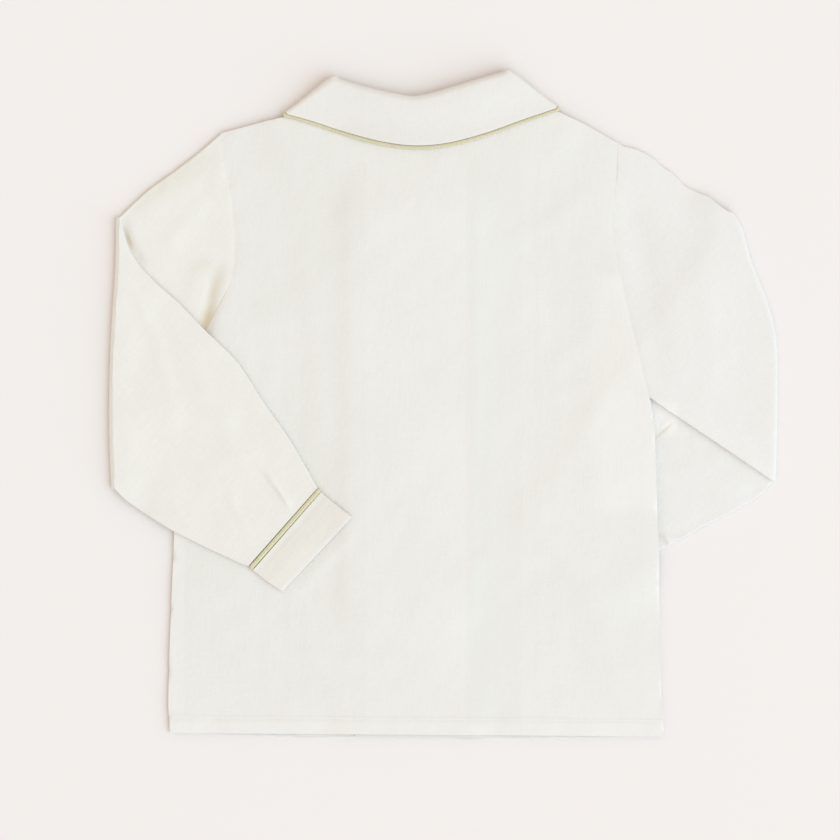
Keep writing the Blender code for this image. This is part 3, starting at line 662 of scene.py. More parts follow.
def ring(line, face_a, face_b, thick, share=0.5):
    """The outer and inner ring of a flat tube. face_a and face_b are its two faces, as points, which meet
    at the edges at this share of the way from face_b."""
    open_by = rounded(to_ends(line), SLEEVE_ROUND)[:, None]
    middle = face_b + (face_a - face_b) * share
    outer_a, outer_b = middle + (face_a - middle) * open_by, middle + (face_b - middle) * open_by
    across = face_a - face_b
    gap = np.maximum(np.linalg.norm(across, axis=1), 1e-6)[:, None]
    room_a = np.maximum(gap * (1 - share) * open_by - thick, 0.02)
    room_b = np.maximum(gap * share * open_by - thick, 0.02)
    along = np.zeros_like(face_a)
    along[0, :2], along[-1, :2] = line[1] - line[0], line[-2] - line[-1]
    along = unit(along) * thick
    inner_a, inner_b = middle + across / gap * room_a + along, middle - across / gap * room_b + along
    return np.vstack((outer_a, outer_b[-2:0:-1])), np.vstack((inner_a, inner_b[-2:0:-1]))


def tube_shell(name, rings, material):
    """A closed shell through pairs of rings, open like a sleeve at both ends."""
    size, count = len(rings[0][0]), len(rings)
    verts = np.vstack([r[0] for r in rings] + [r[1] for r in rings])
    half, last = count * size, (count - 1) * size
    faces = ring_faces(count, size) + [f[::-1] for f in ring_faces(count, size, half)]
    for k in range(size):
        n = (k + 1) % size
        faces += [(n, k, half + k, half + n), (last + k, last + n, half + last + n, half + last + k)]
    return make_object(name, verts, faces, material)


def with_height(line, z):
    return np.column_stack((line, np.broadcast_to(z, len(line))))


def sleeve_rings(arm):
    rings = []
    for line in loft([arm.hole] + [sleeve_line(r, ACROSS) for r in arm.upper] + [arm.crease], UPPER_ROWS):
        line = respread(line)
        rings.append(ring(line, *[with_height(line, z) for z in arm.lying(*line.T)], CLOTH))
    fold = respread(arm.crease)
    turns = math.pi * np.arange(1, TURN_STEPS) / TURN_STEPS
    for angle in turns if arm.side < 0 else turns[::-1]:
        faces = []
        for reach in (FOLD, FOLD - TUBE):
            face = with_height(fold, FOLD - reach * math.cos(angle))
            face[:, 0] += arm.side * reach * math.sin(angle) ** FULLNESS[arm.side]
            faces.append(face)
        rings.append(ring(fold, *faces, CLOTH))
    for k, line in enumerate(loft([arm.crease] + [sleeve_line(r, ACROSS) for r in arm.fore], FORE_ROWS)):
        line = respread(line)
        share = 0.5 + arm.side * FORE_EDGE_SHIFT * float(eased(k / FORE_EDGE_ROWS))
        rings.append(ring(line, *[with_height(line, z) for z in arm.turned_over(*line.T)], CLOTH, share))
    return rings


def cuff_rings(arm):
    rings = []
    for k, line in enumerate(loft([sleeve_line(r, ACROSS) for r in arm.cuff], CUFF_ROWS)):
        line = respread(line)
        faces = [with_height(line, z) for z in arm.cuff_levels(*line.T, k / CUFF_ROWS)]
        rings.append(ring(line, *faces, CUFF_CLOTH))
    return rings


def cord_round(name, arm, material):
    """A cord in the seam between a sleeve and its cuff, all round the flat tube."""
    above, below = sleeve_line(arm.fore[-1], ACROSS), sleeve_line(arm.cuff[0], ACROSS)
    line = respread((above + below) / 2)
    face_a, face_b = [with_height(line, z) for z in arm.cuff_levels(*line.T, 0)]
    outer = ring(line, face_a, face_b, CLOTH)[0]
    middle = (face_a + face_b) / 2
    out = outer - np.vstack((middle, middle[-2:0:-1]))
    for k, sign in ((0, -1), (len(line) - 1, 1)):
        out[k] = np.append((line[-1] - line[0]) * sign, 0)
    out = unit(out)
    down = np.append(unit((below - above).mean(axis=0)), 0)
    lower = np.minimum(face_a[:, 2], face_b[:, 2])
    verts = []
    for p, n, base in zip(outer, out, np.concatenate((lower, lower[-2:0:-1]))):
        for turn in 2 * math.pi * np.arange(CORD_SIDES) / CORD_SIDES:
            at = p + down * CUFF_CORD_HALF * math.cos(turn) + n * (CUFF_CORD_HIGH * math.sin(turn) - 0.1)
            verts.append((at[0], at[1], max(at[2], base + 0.05, -0.1)))
    return make_object(name, verts, ring_faces(len(outer), CORD_SIDES, around=True), material)


FORE_LEFT_CREASES = (
    Crease(1.6, 3.6, ((-126, -48), (-117, -58), (-105.7, -74)), 1.8),
    Crease(0.6, 10, ((-220, 90), (-200, 40), (-186, -20))),
    Crease(0.5, 12, ((-190, 60), (-166, 10), (-140, -30))),
    Crease(0.5, 6, ((-152, -60), (-142, -80), (-134, -98))),
)
FORE_RIGHT_CREASES = (
    Crease(0.5, 3, ((146, -23), (156, -14), (170, -6)), 1.6),
    Crease(0.9, 4, ((146, -94), (160, -94.5), (176, -96)), 2),
    Crease(0.5, 9, ((160, -40), (190, -50), (214, -66))),
)
FORE_LEFT = Field(creased(FORE_LEFT_CREASES) + 0.22 * (1 + ripple(17, 34, 60, 14)))
FORE_RIGHT = Field(creased(FORE_RIGHT_CREASES) + 0.2 * (1 + ripple(31, 30, 50, 14)))
HAND_RIPPLE = Field(0.15 * (1 + ripple(29, 20, 50, 16)))
OVER_ARM_LEFT = curve(((-226, 132), *[r[:2] for r in SLEEVE_LEFT_UPPER[::-1]], ARMHOLE_LEFT[-1]), 40)
EDGE_CRUMPLE = Field(0.3 * ripple(5, 26, 16, 7) * (1 - eased(near(OVER_ARM_LEFT, GX, GY)[0] / 14)))


def lying_left(x, y):
    return FRONT(x, y) + HAND_RIPPLE(x, y) * 0.6, TOP(x, y) + seam_groove(x, y, 1.2) + EDGE_CRUMPLE(x, y)


def turned_left(x, y):
    low = OVER(x, y)
    return low + TUBE + FORE_LEFT(x, y), low + HAND_RIPPLE(x, y) * 0.5


def lying_right(x, y):
    return TOP(x, y) + seam_groove(x, y, 1.2), FRONT(x, y)


def turned_right(x, y):
    return HAND_RIPPLE(x, y) * 0.6, TUBE + FORE_RIGHT(x, y) * eased((x - 150) / 6)


def cuff_lines(share):
    """The band's pressed edge is thinner, and its stitching beside the cord is sunk."""
    return 0.35 * bell(share - 0.12, 0.03) + 0.5 * max(0, (share - 0.9) / 0.1) ** 2


def cuff_left_levels(x, y, share):
    low, soft = OVER(x, y), 0.25 * bell(share - 0.55, 0.2)
    return low + TUBE + 0.5 * HAND_RIPPLE(x, y) + soft - cuff_lines(share), low + 0.3 * cuff_lines(share)


def cuff_right_levels(x, y, share):
    return cuff_lines(share) * 0.6, TUBE - 0.5 * cuff_lines(share)


Arm = namedtuple("Arm", "side hole upper crease fore cuff lying turned_over cuff_levels")
ARMS = {
    "left": Arm(
        *(-1, HOLE_LEFT, SLEEVE_LEFT_UPPER, CREASE_LEFT, SLEEVE_LEFT_FORE, CUFF_LEFT),
        *(lying_left, turned_left, cuff_left_levels),
    ),
    "right": Arm(
        *(1, HOLE_RIGHT, SLEEVE_RIGHT_UPPER, CREASE_RIGHT, SLEEVE_RIGHT_FORE, CUFF_RIGHT),
        *(lying_right, turned_right, cuff_right_levels),
    ),
}


# Collar


def collar_frames():
    """Sections of the collar from one wing's end to the other's, each with how far it has rolled over."""
    wing = curve((COLLAR_FOLD_LEFT,) + COLLAR_WING, 60)[::-1]
    back = curve((COLLAR_FOLD_LEFT,) + COLLAR_BACK + (COLLAR_FOLD_RIGHT,), 120)
    right = curve((COLLAR_FOLD_RIGHT,) + WING_RIGHT, 60)
    turn = math.pi * (np.arange(1, TURN_STEPS) / TURN_STEPS - 0.5)
    frames = [(s, -math.pi / 2) for s in wing] + [(back[0], a) for a in turn]
    frames += [(s, math.pi / 2) for s in back] + [(back[-1], a) for a in turn[::-1]]
    return frames + [(s, -math.pi / 2) for s in right]


def collar_point(s, angle, along, reach):
    """The place this far along a section and this far out from the middle of the collar."""
    away, across = section_axes(s)
    flat = np.array(s[:2]) + away * along + across * reach * math.cos(angle)
    height = FOLD + reach * math.sin(angle)
    if angle > 0:
        height += float(BACK(*flat) - 2 * LAYER + GAP) * math.sin(angle)
    return flat[0], flat[1], height


def collar_section(width, up):
    """The section's outline as places along it and out from the middle of the collar: the fall with its
    rounded edge, the roll, and the stand. up is 1 on top of the shirt, where the cloth has room to spring."""
    roll_middle = (FOLD + GAP / 2) / 2
    outer, inner = FOLD - roll_middle, GAP / 2

    def spring(along):
        return up * (ROLL_SPRING * bell(max(along - 2, 0), 24) + 0.25 * bell(width - along, 4))

    line = [(width, FOLD - WALL / 2)]
    top = ROLL_TOP * up
    for t in np.linspace(1, 0, 17):
        edge = 0.15 * (t == 1)
        line.append((top + (width - top) * t - edge, FOLD - edge + spring(width * t)))
    for k in range(1, 9):
        a = math.pi * k / 8
        out = outer * (1 + 0.5 * up * math.sin(a)) * math.sin(a)
        bulge = spring(0) * (1 - k / 8) ** 0.7
        line.append((top * max(math.cos(a), 0) - out, roll_middle + outer * math.cos(a) + bulge))
    line += [(STAND * k / 4, roll_middle - outer) for k in (1, 2, 3, 4)]
    line += [(STAND * k / 4, roll_middle - inner) for k in (4, 2, 0)]
    line += [(-inner, roll_middle), (0, roll_middle + inner)]
    line += [(width * t, FOLD - WALL) for t in (0.1, 0.3, 0.5, 0.7, 0.9)]
    return line + [(width - 0.15, FOLD - WALL + 0.15)]


def swept(name, rings, material):
    """A solid through closed rings of the same number of points, capped at both ends."""
    size, count = len(rings[0]), len(rings)
    k = np.arange(size)
    faces = ring_faces(count, size) + [k[::-1], k + (count - 1) * size]
    return make_object(name, np.vstack(rings), faces, material)


def build_collar(material, trim):
    rings, cord = [], []
    for s, angle in collar_frames():
        width = math.hypot(s[2] - s[0], s[3] - s[1]) - COLLAR_INSET
        up = max(math.sin(angle), 0)
        rings.append(np.array([collar_point(s, angle, *p) for p in collar_section(width, up)]))
        row, high, middle = [], 0.6 + 0.45 * up, FOLD - 0.6 + 0.3 * up
        for turn in 2 * math.pi * np.arange(CORD_SIDES) / CORD_SIDES:
            along = width + COLLAR_CORD_HALF * (1 + math.cos(turn))
            row.append(collar_point(s, angle, along, middle + high * math.sin(turn)))
        cord.append(np.array(row))
    return swept("collar_cloth", rings, material), swept("collar_cord", cord, trim)


# Thread


def thread(name, runs, material):
    """Running stitches: small raised dashes along lines of places and heights."""
    verts, faces = [], []
    for run in runs:
        fine = evenly(run, max(2, int(lengths(run)[-1] / STITCH_PITCH) * 8))
        for k in range(0, len(fine) - 8, 8):
            a, b = fine[k], fine[k + 6]
            along = unit(b - a)
            half = along * STITCH_LONG / 2
            aside = np.array((-along[1], along[0], 0)) * STITCH_THICK / 2
            up = np.array((0, 0, STITCH_THICK * 0.4))
            middle, base = (a + b) / 2, len(verts)
            verts += [middle - half, middle + half, middle + aside, middle - aside, middle + up, middle - up]
            for p, q in ((2, 4), (4, 3), (3, 5), (5, 2)):
                faces += [(base, base + p, base + q), (base + 1, base + q, base + p)]
    return make_object(name, verts, faces, material)


def on_surface(line, height, off):
    return np.column_stack((line, height(line[:, 0], line[:, 1]) + off))


def stitch_lines():
    """Lines of stitching on the back, and on the fronts' outer faces, which are underneath."""
    left, right = SIDE_LEFT[0][0] + 2, SIDE_RIGHT[0][0] - 2
    x = np.linspace(left, right, 200)
    above = [on_surface(np.column_stack((x, hem_y(x) + HEM_STITCH)), back_top, 0.06)]
    below = []

    def under(base):
        return lambda px, py: front_bottom(px, py, base)

    left_front = (-1, left, free_edge(LEFT_EDGE, SIDE_LEFT[0][1]) - 1, FRONT)
    for side, outer, inner, base in (left_front, (1, right, LEFT_EDGE[0] + 1, INNER_FRONT)):
        x = np.linspace(outer, inner, 120)
        below.append(on_surface(np.column_stack((x, front_hem_y(x) + HEM_STITCH)), under(base), -0.02))
        for start in TUCK_OFFSETS:
            y = np.linspace(-222, 150 if start < 90 else 186, 220)
            tuck = np.column_stack((np.full_like(y, CENTRE + side * (start - 0.3)), y))
            below.append(on_surface(tuck, under(base), 0.12))
    y = np.linspace(-228, 150, 220)
    for off in (1.6, FACING):
        below.append(on_surface(np.column_stack((free_edge(LEFT_EDGE, y) - off, y)), under(FRONT), -0.04))
    return above, below


# Buttons and buttonholes


def ring_of(centre, radius, count):
    turn = 2 * math.pi * np.arange(count) / count
    return np.column_stack((centre[0] + radius * np.cos(turn), centre[1] + radius * np.sin(turn)))


def button_shape():
    """A four-hole button with a dished face. Its face lies on the table."""
    rim = ring_of((0, 0), BUTTON_RADIUS, 48)
    loops = [rim] + [ring_of(h, HOLE_RADIUS, 14) for h in HOLES]
    radii = {6.3: 48, 5.9: 48, 5.3: 44, 4.8: 40, 4.2: 36, 3.7: 30, 3: 20}
    inner = [ring_of((0, 0), radius, count) for radius, count in radii.items()]
    points, edges = [], []
    for loop in loops:
        start = len(points)
        points += [Vector(p) for p in loop]
        edges += [(start + k, start + (k + 1) % len(loop)) for k in range(len(loop))]
    points += [Vector(p) for ringed in inner for p in ringed] + [Vector((0, 0))]
    flat, _, faces, *_ = delaunay_2d_cdt(points, edges, [list(range(48))], 1, 1e-6)
    kept = []
    for f in faces:
        centre = sum((flat[k] for k in f), Vector((0, 0))) / len(f)
        if all((centre - Vector(h)).length > HOLE_RADIUS * 0.97 for h in HOLES):
            kept.append(tuple(f))
    xy = np.array([tuple(p) for p in flat])
    r = np.hypot(xy[:, 0], xy[:, 1])
    face = np.interp(r, (0, 3.6, 4.3, 4.8, 5.8, 6.2, 6.5), (0.6, 0.55, 0.25, 0, 0, 0.15, 0.6))
    behind = np.interp(r, (0, 5.4, 6.2, 6.5), (2, 2, 1.75, 1.3))
    return two_faced(xy, kept, face, behind)


def strand(path, radius):
    """Rings round a path of points."""
    rings = []
    turn = 2 * math.pi * np.arange(STRAND_SIDES) / STRAND_SIDES
    for p, t in zip(path, unit(np.gradient(path, axis=0))):
        side = unit(np.cross(t, (0.3, 0.2, 0.93)))
        up = np.cross(t, side)
        rings.append(p + np.outer(np.cos(turn), side) * radius + np.outer(np.sin(turn), up) * radius)
    return rings


def joined_strands(name, paths, radius, material, around=False):
    verts, faces = [], []
    for path in paths:
        rings = strand(path, radius)
        faces += ring_faces(len(rings), STRAND_SIDES, len(verts), around)
        verts += [p for r in rings for p in r]
    return make_object(name, verts, faces, material)


def button_thread(x, y):
    """One strand over a button, from a hole to the next, and down into both."""
    t = np.linspace(-1, 1, 13)
    z = 0.28 + 1.5 * np.clip(np.abs(t) - 0.72, 0, 1) / 0.28
    return np.column_stack((x + 0 * t, y + 1.75 * np.clip(t, -0.86, 0.86) / 0.86, z))


def build_buttons(pearl, cotton):
    verts, faces = button_shape()
    paths = []
    for column, x in BUTTON_COLUMNS.items():
        for row, y in enumerate(BUTTON_ROWS, 1):
            node = f"button_{column}{row}"
            dress(make_object(node + "_pearl", verts + np.array((x, y, 0)), faces, pearl), "button", node)
            offsets = [hole + off for hole in (-HOLE_OFF, HOLE_OFF) for off in (-0.28, 0.28)]
            paths += [button_thread(x + off, y) for off in offsets]
    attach(joined_strands("button_threads", paths, 0.26, cotton), "root")


def build_buttonholes(cotton):
    """Bound slits in the outer front, under the column of buttons next to its free edge."""
    paths = []
    t = 2 * math.pi * np.arange(40) / 40
    for y in BUTTON_ROWS:
        x = BUTTON_COLUMNS["b"] + 1 + 7.8 * np.sign(np.cos(t)) * np.abs(np.cos(t)) ** 0.5
        across = y + 0.8 * np.sign(np.sin(t)) * np.abs(np.sin(t)) ** 0.5
        z = front_bottom(x, across, FRONT) - 0.05
        paths.append(np.column_stack((x, across, z)))
    return joined_strands("buttonhole_stitching", paths, 0.5, cotton, around=True)


def tint(colour, *gains):
    """A colour with each of its channels changed by its own factor."""
    return tuple(min(c * g, 1) for c, g in zip(colour, gains)) + (1,)


# Materials


def srgb(r, g, b):
    """A colour given as it looks, from 0 to 255, as the shader wants it."""
    c = np.array((r, g, b)) / 255
    lin = np.where(c <= 0.04045, c / 12.92, ((c + 0.055) / 1.055) ** 2.4)
    return tuple(float(v) for v in lin) + (1,)


# The weave: noise cells to a metre along each of the cloth's own axes
WARP, WEFT, SLUB_UP, SLUB_ACROSS = (1300, 260, 400), (260, 1300, 400), (560, 70, 200), (80, 620, 200)
CLOUD, CRUMPLE, CRACKLE = (16, 12, 14), (70, 60, 60), (330, 260, 300)
BETWEEN_THREADS = (0.94, 0.94 * 0.998, 0.94 * 0.985)
# The colour that painted shade in hollows is multiplied towards
PAINTED_SHADE_TINT = (0.74, 0.62, 0.42, 1)


class Nodes:
    """A material's nodes, with short ways to add the few kinds used here."""

    def __init__(self, name, **settings):
        self.material = bpy.data.materials.new(name)
        self.material.use_nodes = True
        self.tree = self.material.node_tree
        self.feed(**settings)
        self.place = self.add("ShaderNodeTexCoord").outputs["Object"]

    def feed(self, **values):
        """Numbers, colours or other nodes' sockets for the shader's own sockets."""
        for key, value in values.items():
            self.put(value, self.tree.nodes["Principled BSDF"].inputs[key.replace("_", " ")])

    def add(self, kind, **inputs):
        node = self.tree.nodes.new(kind)
        for key, value in inputs.items():
            self.put(value, node.inputs[key.replace("_", " ")])
        return node

    def put(self, value, socket):
        if isinstance(value, bpy.types.NodeSocket):
            self.tree.links.new(value, socket)
        else:
            socket.default_value = value

    def math(self, operation, a, b=0, c=0):
        node = self.tree.nodes.new("ShaderNodeMath")
        node.operation = operation
        for value, socket in zip((a, b, c), node.inputs):
            self.put(value, socket)
        return node.outputs[0]

    def turned(self, degrees, scale=(1, 1, 1)):
        """Coordinates turned about Z, then scaled along each of their own axes."""
        spun = self.add("ShaderNodeMapping", Vector=self.place, Rotation=(0, 0, math.radians(-degrees)))
        return self.add("ShaderNodeMapping", Vector=spun.outputs[0], Scale=scale).outputs[0]

    def noise(self, degrees, scale, detail=2):
        """Noise on turned coordinates, with this many cells to a metre along each of their axes."""
        where = self.turned(degrees, scale)
        return self.add("ShaderNodeTexNoise", Vector=where, Scale=1, Detail=detail).outputs["Fac"]

    def ramp(self, value, low, high, to_low=0, to_high=1):
        node = self.add("ShaderNodeMapRange", Value=value)
        node.interpolation_type = "SMOOTHSTEP"
        for key, number in (("From Min", low), ("From Max", high), ("To Min", to_low), ("To Max", to_high)):
            node.inputs[key].default_value = number
        return node.outputs[0]

    def mix(self, share, a, b, blend="MIX"):
        node = self.tree.nodes.new("ShaderNodeMix")
        node.data_type, node.blend_type = "RGBA", blend
        for value, socket in ((share, 0), (a, 6), (b, 7)):
            self.put(value, node.inputs[socket])
        return node.outputs[2]

    def soft_edges(self, keep):
        """The normal, leant towards straight up or down on steep edges, where light passes through cloth."""
        normal = self.add("ShaderNodeNewGeometry").outputs["Normal"]
        x, y, z = self.add("ShaderNodeSeparateXYZ", Vector=normal).outputs
        lean = self.ramp(self.math("ABSOLUTE", z), 0.55, 0.9, keep, 1)
        x, y = self.math("MULTIPLY", x, lean), self.math("MULTIPLY", y, lean)
        node = self.add("ShaderNodeVectorMath")
        node.operation = "NORMALIZE"
        self.put(self.add("ShaderNodeCombineXYZ", X=x, Y=y, Z=z).outputs[0], node.inputs[0])
        return node.outputs[0]

    def bump(self, height, distance, strength, after=None):
        node = self.add("ShaderNodeBump", Height=height, Strength=strength, Distance=distance)
        if after is not None:
            self.put(after, node.inputs["Normal"])
        return node.outputs[0]


def show_through_and_painted_light(n, skin, colour, bands, place):
    """Strips that look lighter where more cloth lies below them, or darker, on upper faces only. A strip can
    also be painted light, which lightens cloth that lies in shade.
    """
    x, y, height = place
    upper_face = n.ramp(height, 1.2 * MM, 2 * MM)
    total = 0
    for low, high, bottom, top, soft, gain in bands:
        inside = upper_face
        sides = (x, low, soft, 1), (x, high, soft, 0), (y, bottom, 6, 1), (y, top, 6, 0)
        for at, edge, spread, after in sides:
            step = n.ramp(at, (edge - spread) * MM, (edge + spread) * MM, 1 - after, after)
            inside = n.math("MULTIPLY", inside, step)
        total = n.math("MULTIPLY_ADD", inside, gain, total)
    skin = n.mix(n.math("MAXIMUM", total, 0), skin, tint(colour, 1.06, 1.055, 1.05))
    return n.mix(n.math("MAXIMUM", n.math("MULTIPLY", total, -1), 0), skin, tint(colour, 0.94, 0.945, 0.93))


def paint_shade(n, skin, shade_spots, height, under):
    """Painted shade: warmer and darker colour in hollows between folds and beside seams, above the table and
    below the height under.
    """
    below = n.ramp(height, (under - 0.5) * MM, under * MM, 1, 0)
    at_height = n.math("MULTIPLY", n.ramp(height, 0.45 * MM, 0.75 * MM), below)
    total = 0
    for x, y, angle, long, wide, darkness in shade_spots:
        moved = n.add("ShaderNodeMapping", Vector=n.place, Location=(-x * MM, -y * MM, 0)).outputs[0]
        spun = n.add("ShaderNodeMapping", Vector=moved, Rotation=(0, 0, math.radians(-angle))).outputs[0]
        inside = at_height
        for off, reach in zip(n.add("ShaderNodeSeparateXYZ", Vector=spun).outputs, (long, wide)):
            fade = n.ramp(n.math("ABSOLUTE", off), 0, reach * MM, 1, 0)
            inside = n.math("MULTIPLY", inside, fade)
        total = n.math("MULTIPLY_ADD", inside, darkness, total)
    return n.mix(total, skin, PAINTED_SHADE_TINT, "MULTIPLY")


def linen(name, colour, turn=0, bands=(), shade_spots=(), under=4.7):
    """A light linen and cotton cloth. turn is the warp's angle from Y. Each band is a strip along Y, given
    as low x, high x, low y, high y, softness and how much lighter it looks; most bands show what lies under
    the cloth, and a band can also be painted light on cloth in shade. Each shade spot is painted shade in a
    hollow, where light comes only from the cloth round it: its middle, the angle it lies at, half its length,
    half its width, and how dark the painted shade is."""
    n = Nodes(name, Specular_IOR_Level=0.08)
    threads = 0
    for scale, detail in ((WARP, 1), (WEFT, 1), (SLUB_UP, 2), (SLUB_ACROSS, 2)):
        threads = n.math("ADD", n.noise(turn, scale, detail), threads)
    cloud = n.noise(turn, CLOUD, 4)
    shade = n.math("ADD", n.ramp(threads, 1.4, 2.6, 0, 0.4), n.ramp(cloud, 0.3, 0.7, 0, 0.4))
    skin = n.mix(shade, tint(colour, *BETWEEN_THREADS), colour)
    place = n.add("ShaderNodeSeparateXYZ", Vector=n.place).outputs
    if bands:
        skin = show_through_and_painted_light(n, skin, colour, bands, place)
    if shade_spots:
        skin = paint_shade(n, skin, shade_spots, place[2], under)
    crumple = n.math("ADD", n.noise(turn, CRUMPLE, 4), n.math("MULTIPLY", n.noise(turn, CRACKLE, 3), 0.3))
    first = n.bump(crumple, 0.0012, 0.35, n.soft_edges(0.35))
    n.feed(Base_Color=skin, Roughness=n.ramp(threads, 1.4, 2.6, 0.8, 0.95))
    n.feed(Normal=n.bump(threads, 0.00012, 0.6, first))
    return n.material


def cord_cloth(name, colour):
    """Bias-cut twill over a cord."""
    n = Nodes(name, Roughness=0.75, Sheen_Weight=0.15, Specular_IOR_Level=0.3)
    wave = n.add("ShaderNodeTexWave", Vector=n.turned(35), Scale=420, Distortion=1.5).outputs["Fac"]
    grain = n.noise(0, (900, 900, 900))
    skin = n.mix(n.ramp(grain, 0.3, 0.7), tint(colour, 0.88, 0.89, 0.84), colour)
    n.feed(Base_Color=skin, Normal=n.bump(n.math("ADD", wave, grain), 0.0002, 0.6))
    return n.material


def pearl_shell(name):
    """Clouded mother of pearl with a thin gloss."""
    n = Nodes(name, Coat_Weight=0.3, Coat_Roughness=0.1)
    cloud = n.noise(20, (220, 90, 200), 4)
    skin = n.mix(n.ramp(cloud, 0.3, 0.7), srgb(226, 222, 208), srgb(244, 241, 232))
    n.feed(Base_Color=skin, Roughness=n.ramp(cloud, 0.3, 0.7, 0.16, 0.32))
    return n.material


def cotton_thread(name, colour):
    n = Nodes(name, Roughness=0.7, Sheen_Weight=0.1)
    twist = n.noise(30, (3000, 700, 900), 1)
    n.feed(Base_Color=n.mix(twist, tint(colour, 0.9, 0.9, 0.88), colour))
    return n.material


IVORY, COLLAR_IVORY = srgb(236.7, 234, 229.3), srgb(236, 232.5, 227.5)
SLEEVE_IVORY_LEFT, SLEEVE_IVORY_RIGHT = srgb(239, 236, 229.8), srgb(238.3, 235.9, 232.6)
CUFF_IVORY_LEFT, CUFF_IVORY_RIGHT = srgb(237, 232.5, 225), srgb(237, 232.5, 227)
SAGE, SAGE_CUFF, COTTON = srgb(222, 215, 183), srgb(226, 218, 184), srgb(238, 236, 226)

# What shows through the cloth: the hem, the overlap of the fronts and its rim, and the tucks
SHOW_THROUGH = (
    (-200, 160, -245, -220.5, 0.5, 0.28),
    (CENTRE - 33, CENTRE + 37, -222, 172, 1.2, 0.13),
    (CENTRE + 38.5, CENTRE + 75, -222, 172, 2.5, -0.3),
    (CENTRE + 40, CENTRE + 53, -222, 172, 4, -0.5),
    (106, 160, -75, 90, 9, 0.35),
    (-148, -78, 60, 180, 8, -0.25),
    (-191, -181, -216, 0, 1, 0.2),
    (141, 152, -216, 0, 1, 0.1),
    (-137.5, -129.5, -216, 160, 1.2, 0.08),
    (-121.5, -113, -216, 172, 1.2, 0.08),
    (-107.5, -100.5, -216, 176, 1.2, 0.08),
    (55, 63.5, -216, 176, 1.2, 0.07),
    (68, 75, -216, 170, 1.2, 0.07),
    (82, 89, -216, 160, 1.2, 0.07),
)
# Painted light: a strip that lightens the right sleeve's cloth in the hollow by the armpit, where it lies in
# shade
PAINTED_LIGHT_RIGHT = ((146, 164, -20, 0, 3, 0.75),)
# Painted shade: warm dark spots along the armhole seams of the back, and in the creases, troughs and gaps of
# the sleeves
PAINTED_SHADE_BACK = ((122.2, 166, 87, 26, 1, 0.36), (-149.8, 150, 82, 34, 0.8, 0.14))
PAINTED_SHADE_LEFT = (
    (-162.2, 76, 80.3, 27, 5.5, 0.4), (-165.8, 56, 74, 18, 8, 0.8), (-156.6, 69, 62.5, 20, 1.3, 0.7),
    (-168, 97, 20, 14, 11, 0.15), (-220.2, 115.2, -70, 13.5, 2.8, 0.75), (-173, 76, 72, 24, 9, 0.1),
    (-185.9, 160.3, 38.7, 56, 16, 0.17),
)
PAINTED_SHADE_RIGHT = (
    (189, -27, -34, 60, 4.5, 0.06), (155, -18.6, 41.8, 14, 2.3, 0.42), (156, -96, -60, 6, 2.4, 0.35),
    (160, 52, -75, 34, 12, 0.08),
)


# The shirt


def dress(obj, slot, *nodes):
    """A piece that rides on the body, with the nodes that it takes the place of; its slot is not used."""
    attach(obj, "root")
    if nodes:
        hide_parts(*nodes)
    return obj


def build_back(material):
    above_hem = (0.9, HEM_DEEP - 2, HEM_STITCH, HEM_DEEP - 0.5, HEM_DEEP, HEM_DEEP + 0.9)
    hem = along_x(hem_y, HEM_FROM, HEM_TO, above_hem)
    offsets = (0.8, 1.8, 3.2, -0.8, -1.8, -3.2)
    rows = hem + beside(HOLE_LEFT, offsets) + beside(HOLE_RIGHT, offsets)
    return dress(flat_sheet("back_cloth", BACK_PLAN, back_top, back_bottom, material, rows), "cloth", "back")


def build_front(node, base, material):
    left = node == "front_left"
    rows = along_x(front_hem_y, HEM_FROM, HEM_TO, (HEM_DEEP - 2, HEM_STITCH, HEM_DEEP - 0.4))
    y = np.arange(-228, 196, MESH)
    for start in TUCK_OFFSETS:
        for off in (-0.5, 0, 0.6, 1.3, TUCK_RISE, TUCK_WIDTH, TUCK_WIDTH + TUCK_STEP):
            x = CENTRE + (start + off) * (-1 if left else 1)
            rows.append(np.column_stack((np.full_like(y, x), y)))
    obj = flat_sheet(
        node + "_cloth",
        front_outline(left),
        lambda x, y: front_top(x, y, base),
        lambda x, y: front_bottom(x, y, base),
        material,
        rows,
    )
    return dress(obj, "cloth", node)


def build_arm(name, sleeve_material, cuff_material, trim):
    """A sleeve and its cuff, which are returned, and the piping between them."""
    arm = ARMS[name]
    sleeve = tube_shell(f"sleeve_{name}_cloth", sleeve_rings(arm), sleeve_material)
    cuff = tube_shell(f"cuff_{name}_cloth", cuff_rings(arm), cuff_material)
    dress(cord_round(f"cuff_cord_{name}", arm, trim), "piping", f"cuff_piping_{name}")
    return dress(sleeve, "cloth", f"sleeve_{name}"), dress(cuff, "cloth", f"cuff_{name}")


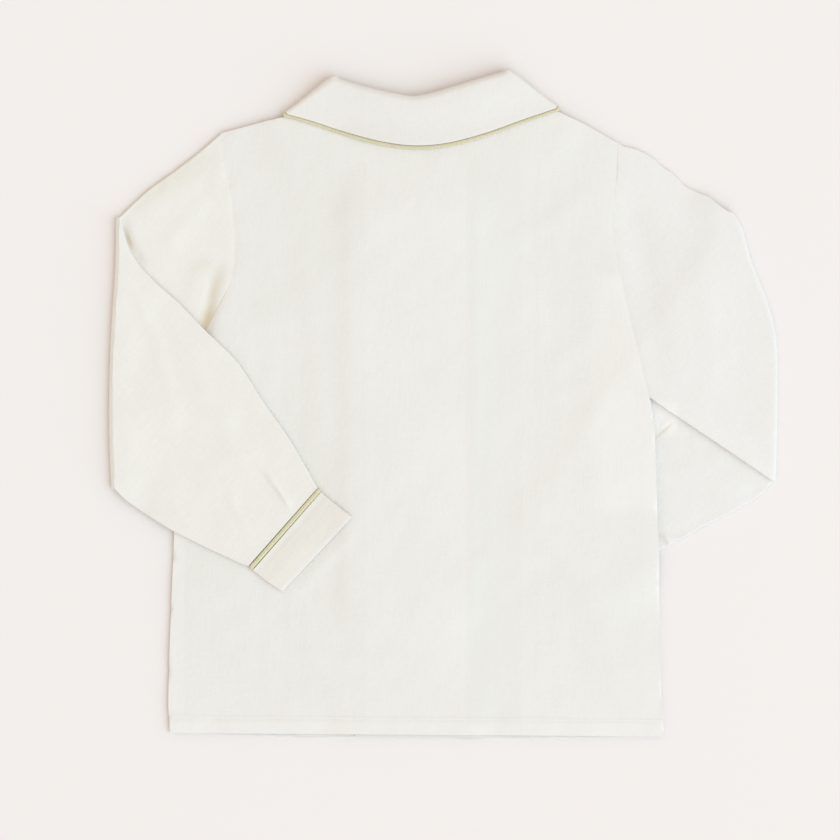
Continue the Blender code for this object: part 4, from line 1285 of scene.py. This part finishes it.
def build_shirt():
    """All pieces; the sheets of cloth are returned by name."""
    plain = linen("linen_front", IVORY)
    sage_cuff = cord_cloth("sage_twill_cuff", SAGE_CUFF)
    cotton = cotton_thread("cotton_thread", COTTON)
    sleeve_left = linen("linen_sleeve_left", SLEEVE_IVORY_LEFT, -38, shade_spots=PAINTED_SHADE_LEFT)
    sleeve_right = linen("linen_sleeve_right", SLEEVE_IVORY_RIGHT, 28, PAINTED_LIGHT_RIGHT, PAINTED_SHADE_RIGHT)
    cuff_left = linen("linen_cuff", CUFF_IVORY_LEFT, -40)
    cuff_right = linen("linen_cuff_right", CUFF_IVORY_RIGHT, 40)
    collar, cord = build_collar(linen("linen_collar", COLLAR_IVORY, 8), cord_cloth("sage_twill", SAGE))
    pieces = (
        build_back(linen("linen_back", IVORY, 0, SHOW_THROUGH, PAINTED_SHADE_BACK, under=20)),
        build_front("front_left", FRONT, plain),
        build_front("front_right", INNER_FRONT, plain),
        *build_arm("left", sleeve_left, cuff_left, sage_cuff),
        *build_arm("right", sleeve_right, cuff_right, sage_cuff),
        dress(collar, "cloth", "collar"),
    )
    dress(cord, "piping", "collar_piping")
    above, below = stitch_lines()
    dress(thread("stitching_back", above, cotton), "cloth")
    dress(thread("stitching_fronts", below, cotton), "cloth")
    build_buttons(pearl_shell("shell_button"), cotton)
    dress(build_buttonholes(cotton), "cloth")
    return {obj.name: obj for obj in pieces}


# Studio: one broad cool sun, a weak lamp low at the right, and a warm sky, in metres

PAPER, FLOOR_HALF, FLOOR_Z = srgb(240, 234, 231), 4, -0.0002
SUN_STRENGTH, SUN_SPREAD, SUN_COLOUR, SUN_AIM = 1.79, math.radians(74), (0.52, 0.79, 1), (-1, 0.62, -0.92)
FILL_STRENGTH, FILL_SIZE, FILL_PLACE, FILL_AIM = 0.6, 1, (0.95, -0.2, 0.5), (-0.85, 0.2, -0.5)
SKY_COLOUR, SKY_STRENGTH = (1, 0.9045, 0.8127, 1), 0.837
SENSOR, CAMERA_PLACE = 36, (-0.0161, -0.0112, 3)
CAMERA_VIEW, CAMERA_LEVEL = 0.588, 0.005  # the picture is this wide at this height above the table


def build_studio():
    scene = bpy.context.scene
    floor = bpy.data.meshes.new("studio_floor")
    corners = [(x * FLOOR_HALF, y * FLOOR_HALF, 0) for x, y in ((-1, -1), (1, -1), (1, 1), (-1, 1))]
    floor.from_pydata(corners, [], [(0, 1, 2, 3)])
    paper = Nodes("studio_paper", Roughness=0.95, Specular_IOR_Level=0.1, Base_Color=PAPER)
    floor.materials.append(paper.material)
    place("studio_floor", floor, (0, 0, FLOOR_Z))

    sun = bpy.data.lights.new("key_light", "SUN")
    sun.energy, sun.angle, sun.color = SUN_STRENGTH, SUN_SPREAD, SUN_COLOUR
    place("key_light", sun, aim=SUN_AIM)
    fill = bpy.data.lights.new("fill_light", "AREA")
    fill.energy, fill.size = FILL_STRENGTH, FILL_SIZE
    place("fill_light", fill, FILL_PLACE, FILL_AIM)
    scene.world = bpy.data.worlds.new("studio")
    scene.world.use_nodes = True
    sky = scene.world.node_tree.nodes["Background"]
    sky.inputs["Color"].default_value = SKY_COLOUR
    sky.inputs["Strength"].default_value = SKY_STRENGTH

    camera = bpy.data.cameras.new("camera")
    camera.sensor_width = SENSOR
    camera.lens = SENSOR * (CAMERA_PLACE[2] - CAMERA_LEVEL) / CAMERA_VIEW
    camera.clip_start, camera.clip_end = 0.05, 20
    scene.camera = place("camera", camera, CAMERA_PLACE)
    scene.view_settings.view_transform = "Standard"
    scene.cycles.use_denoising = True


build_studio()
CLOTHES = build_shirt()
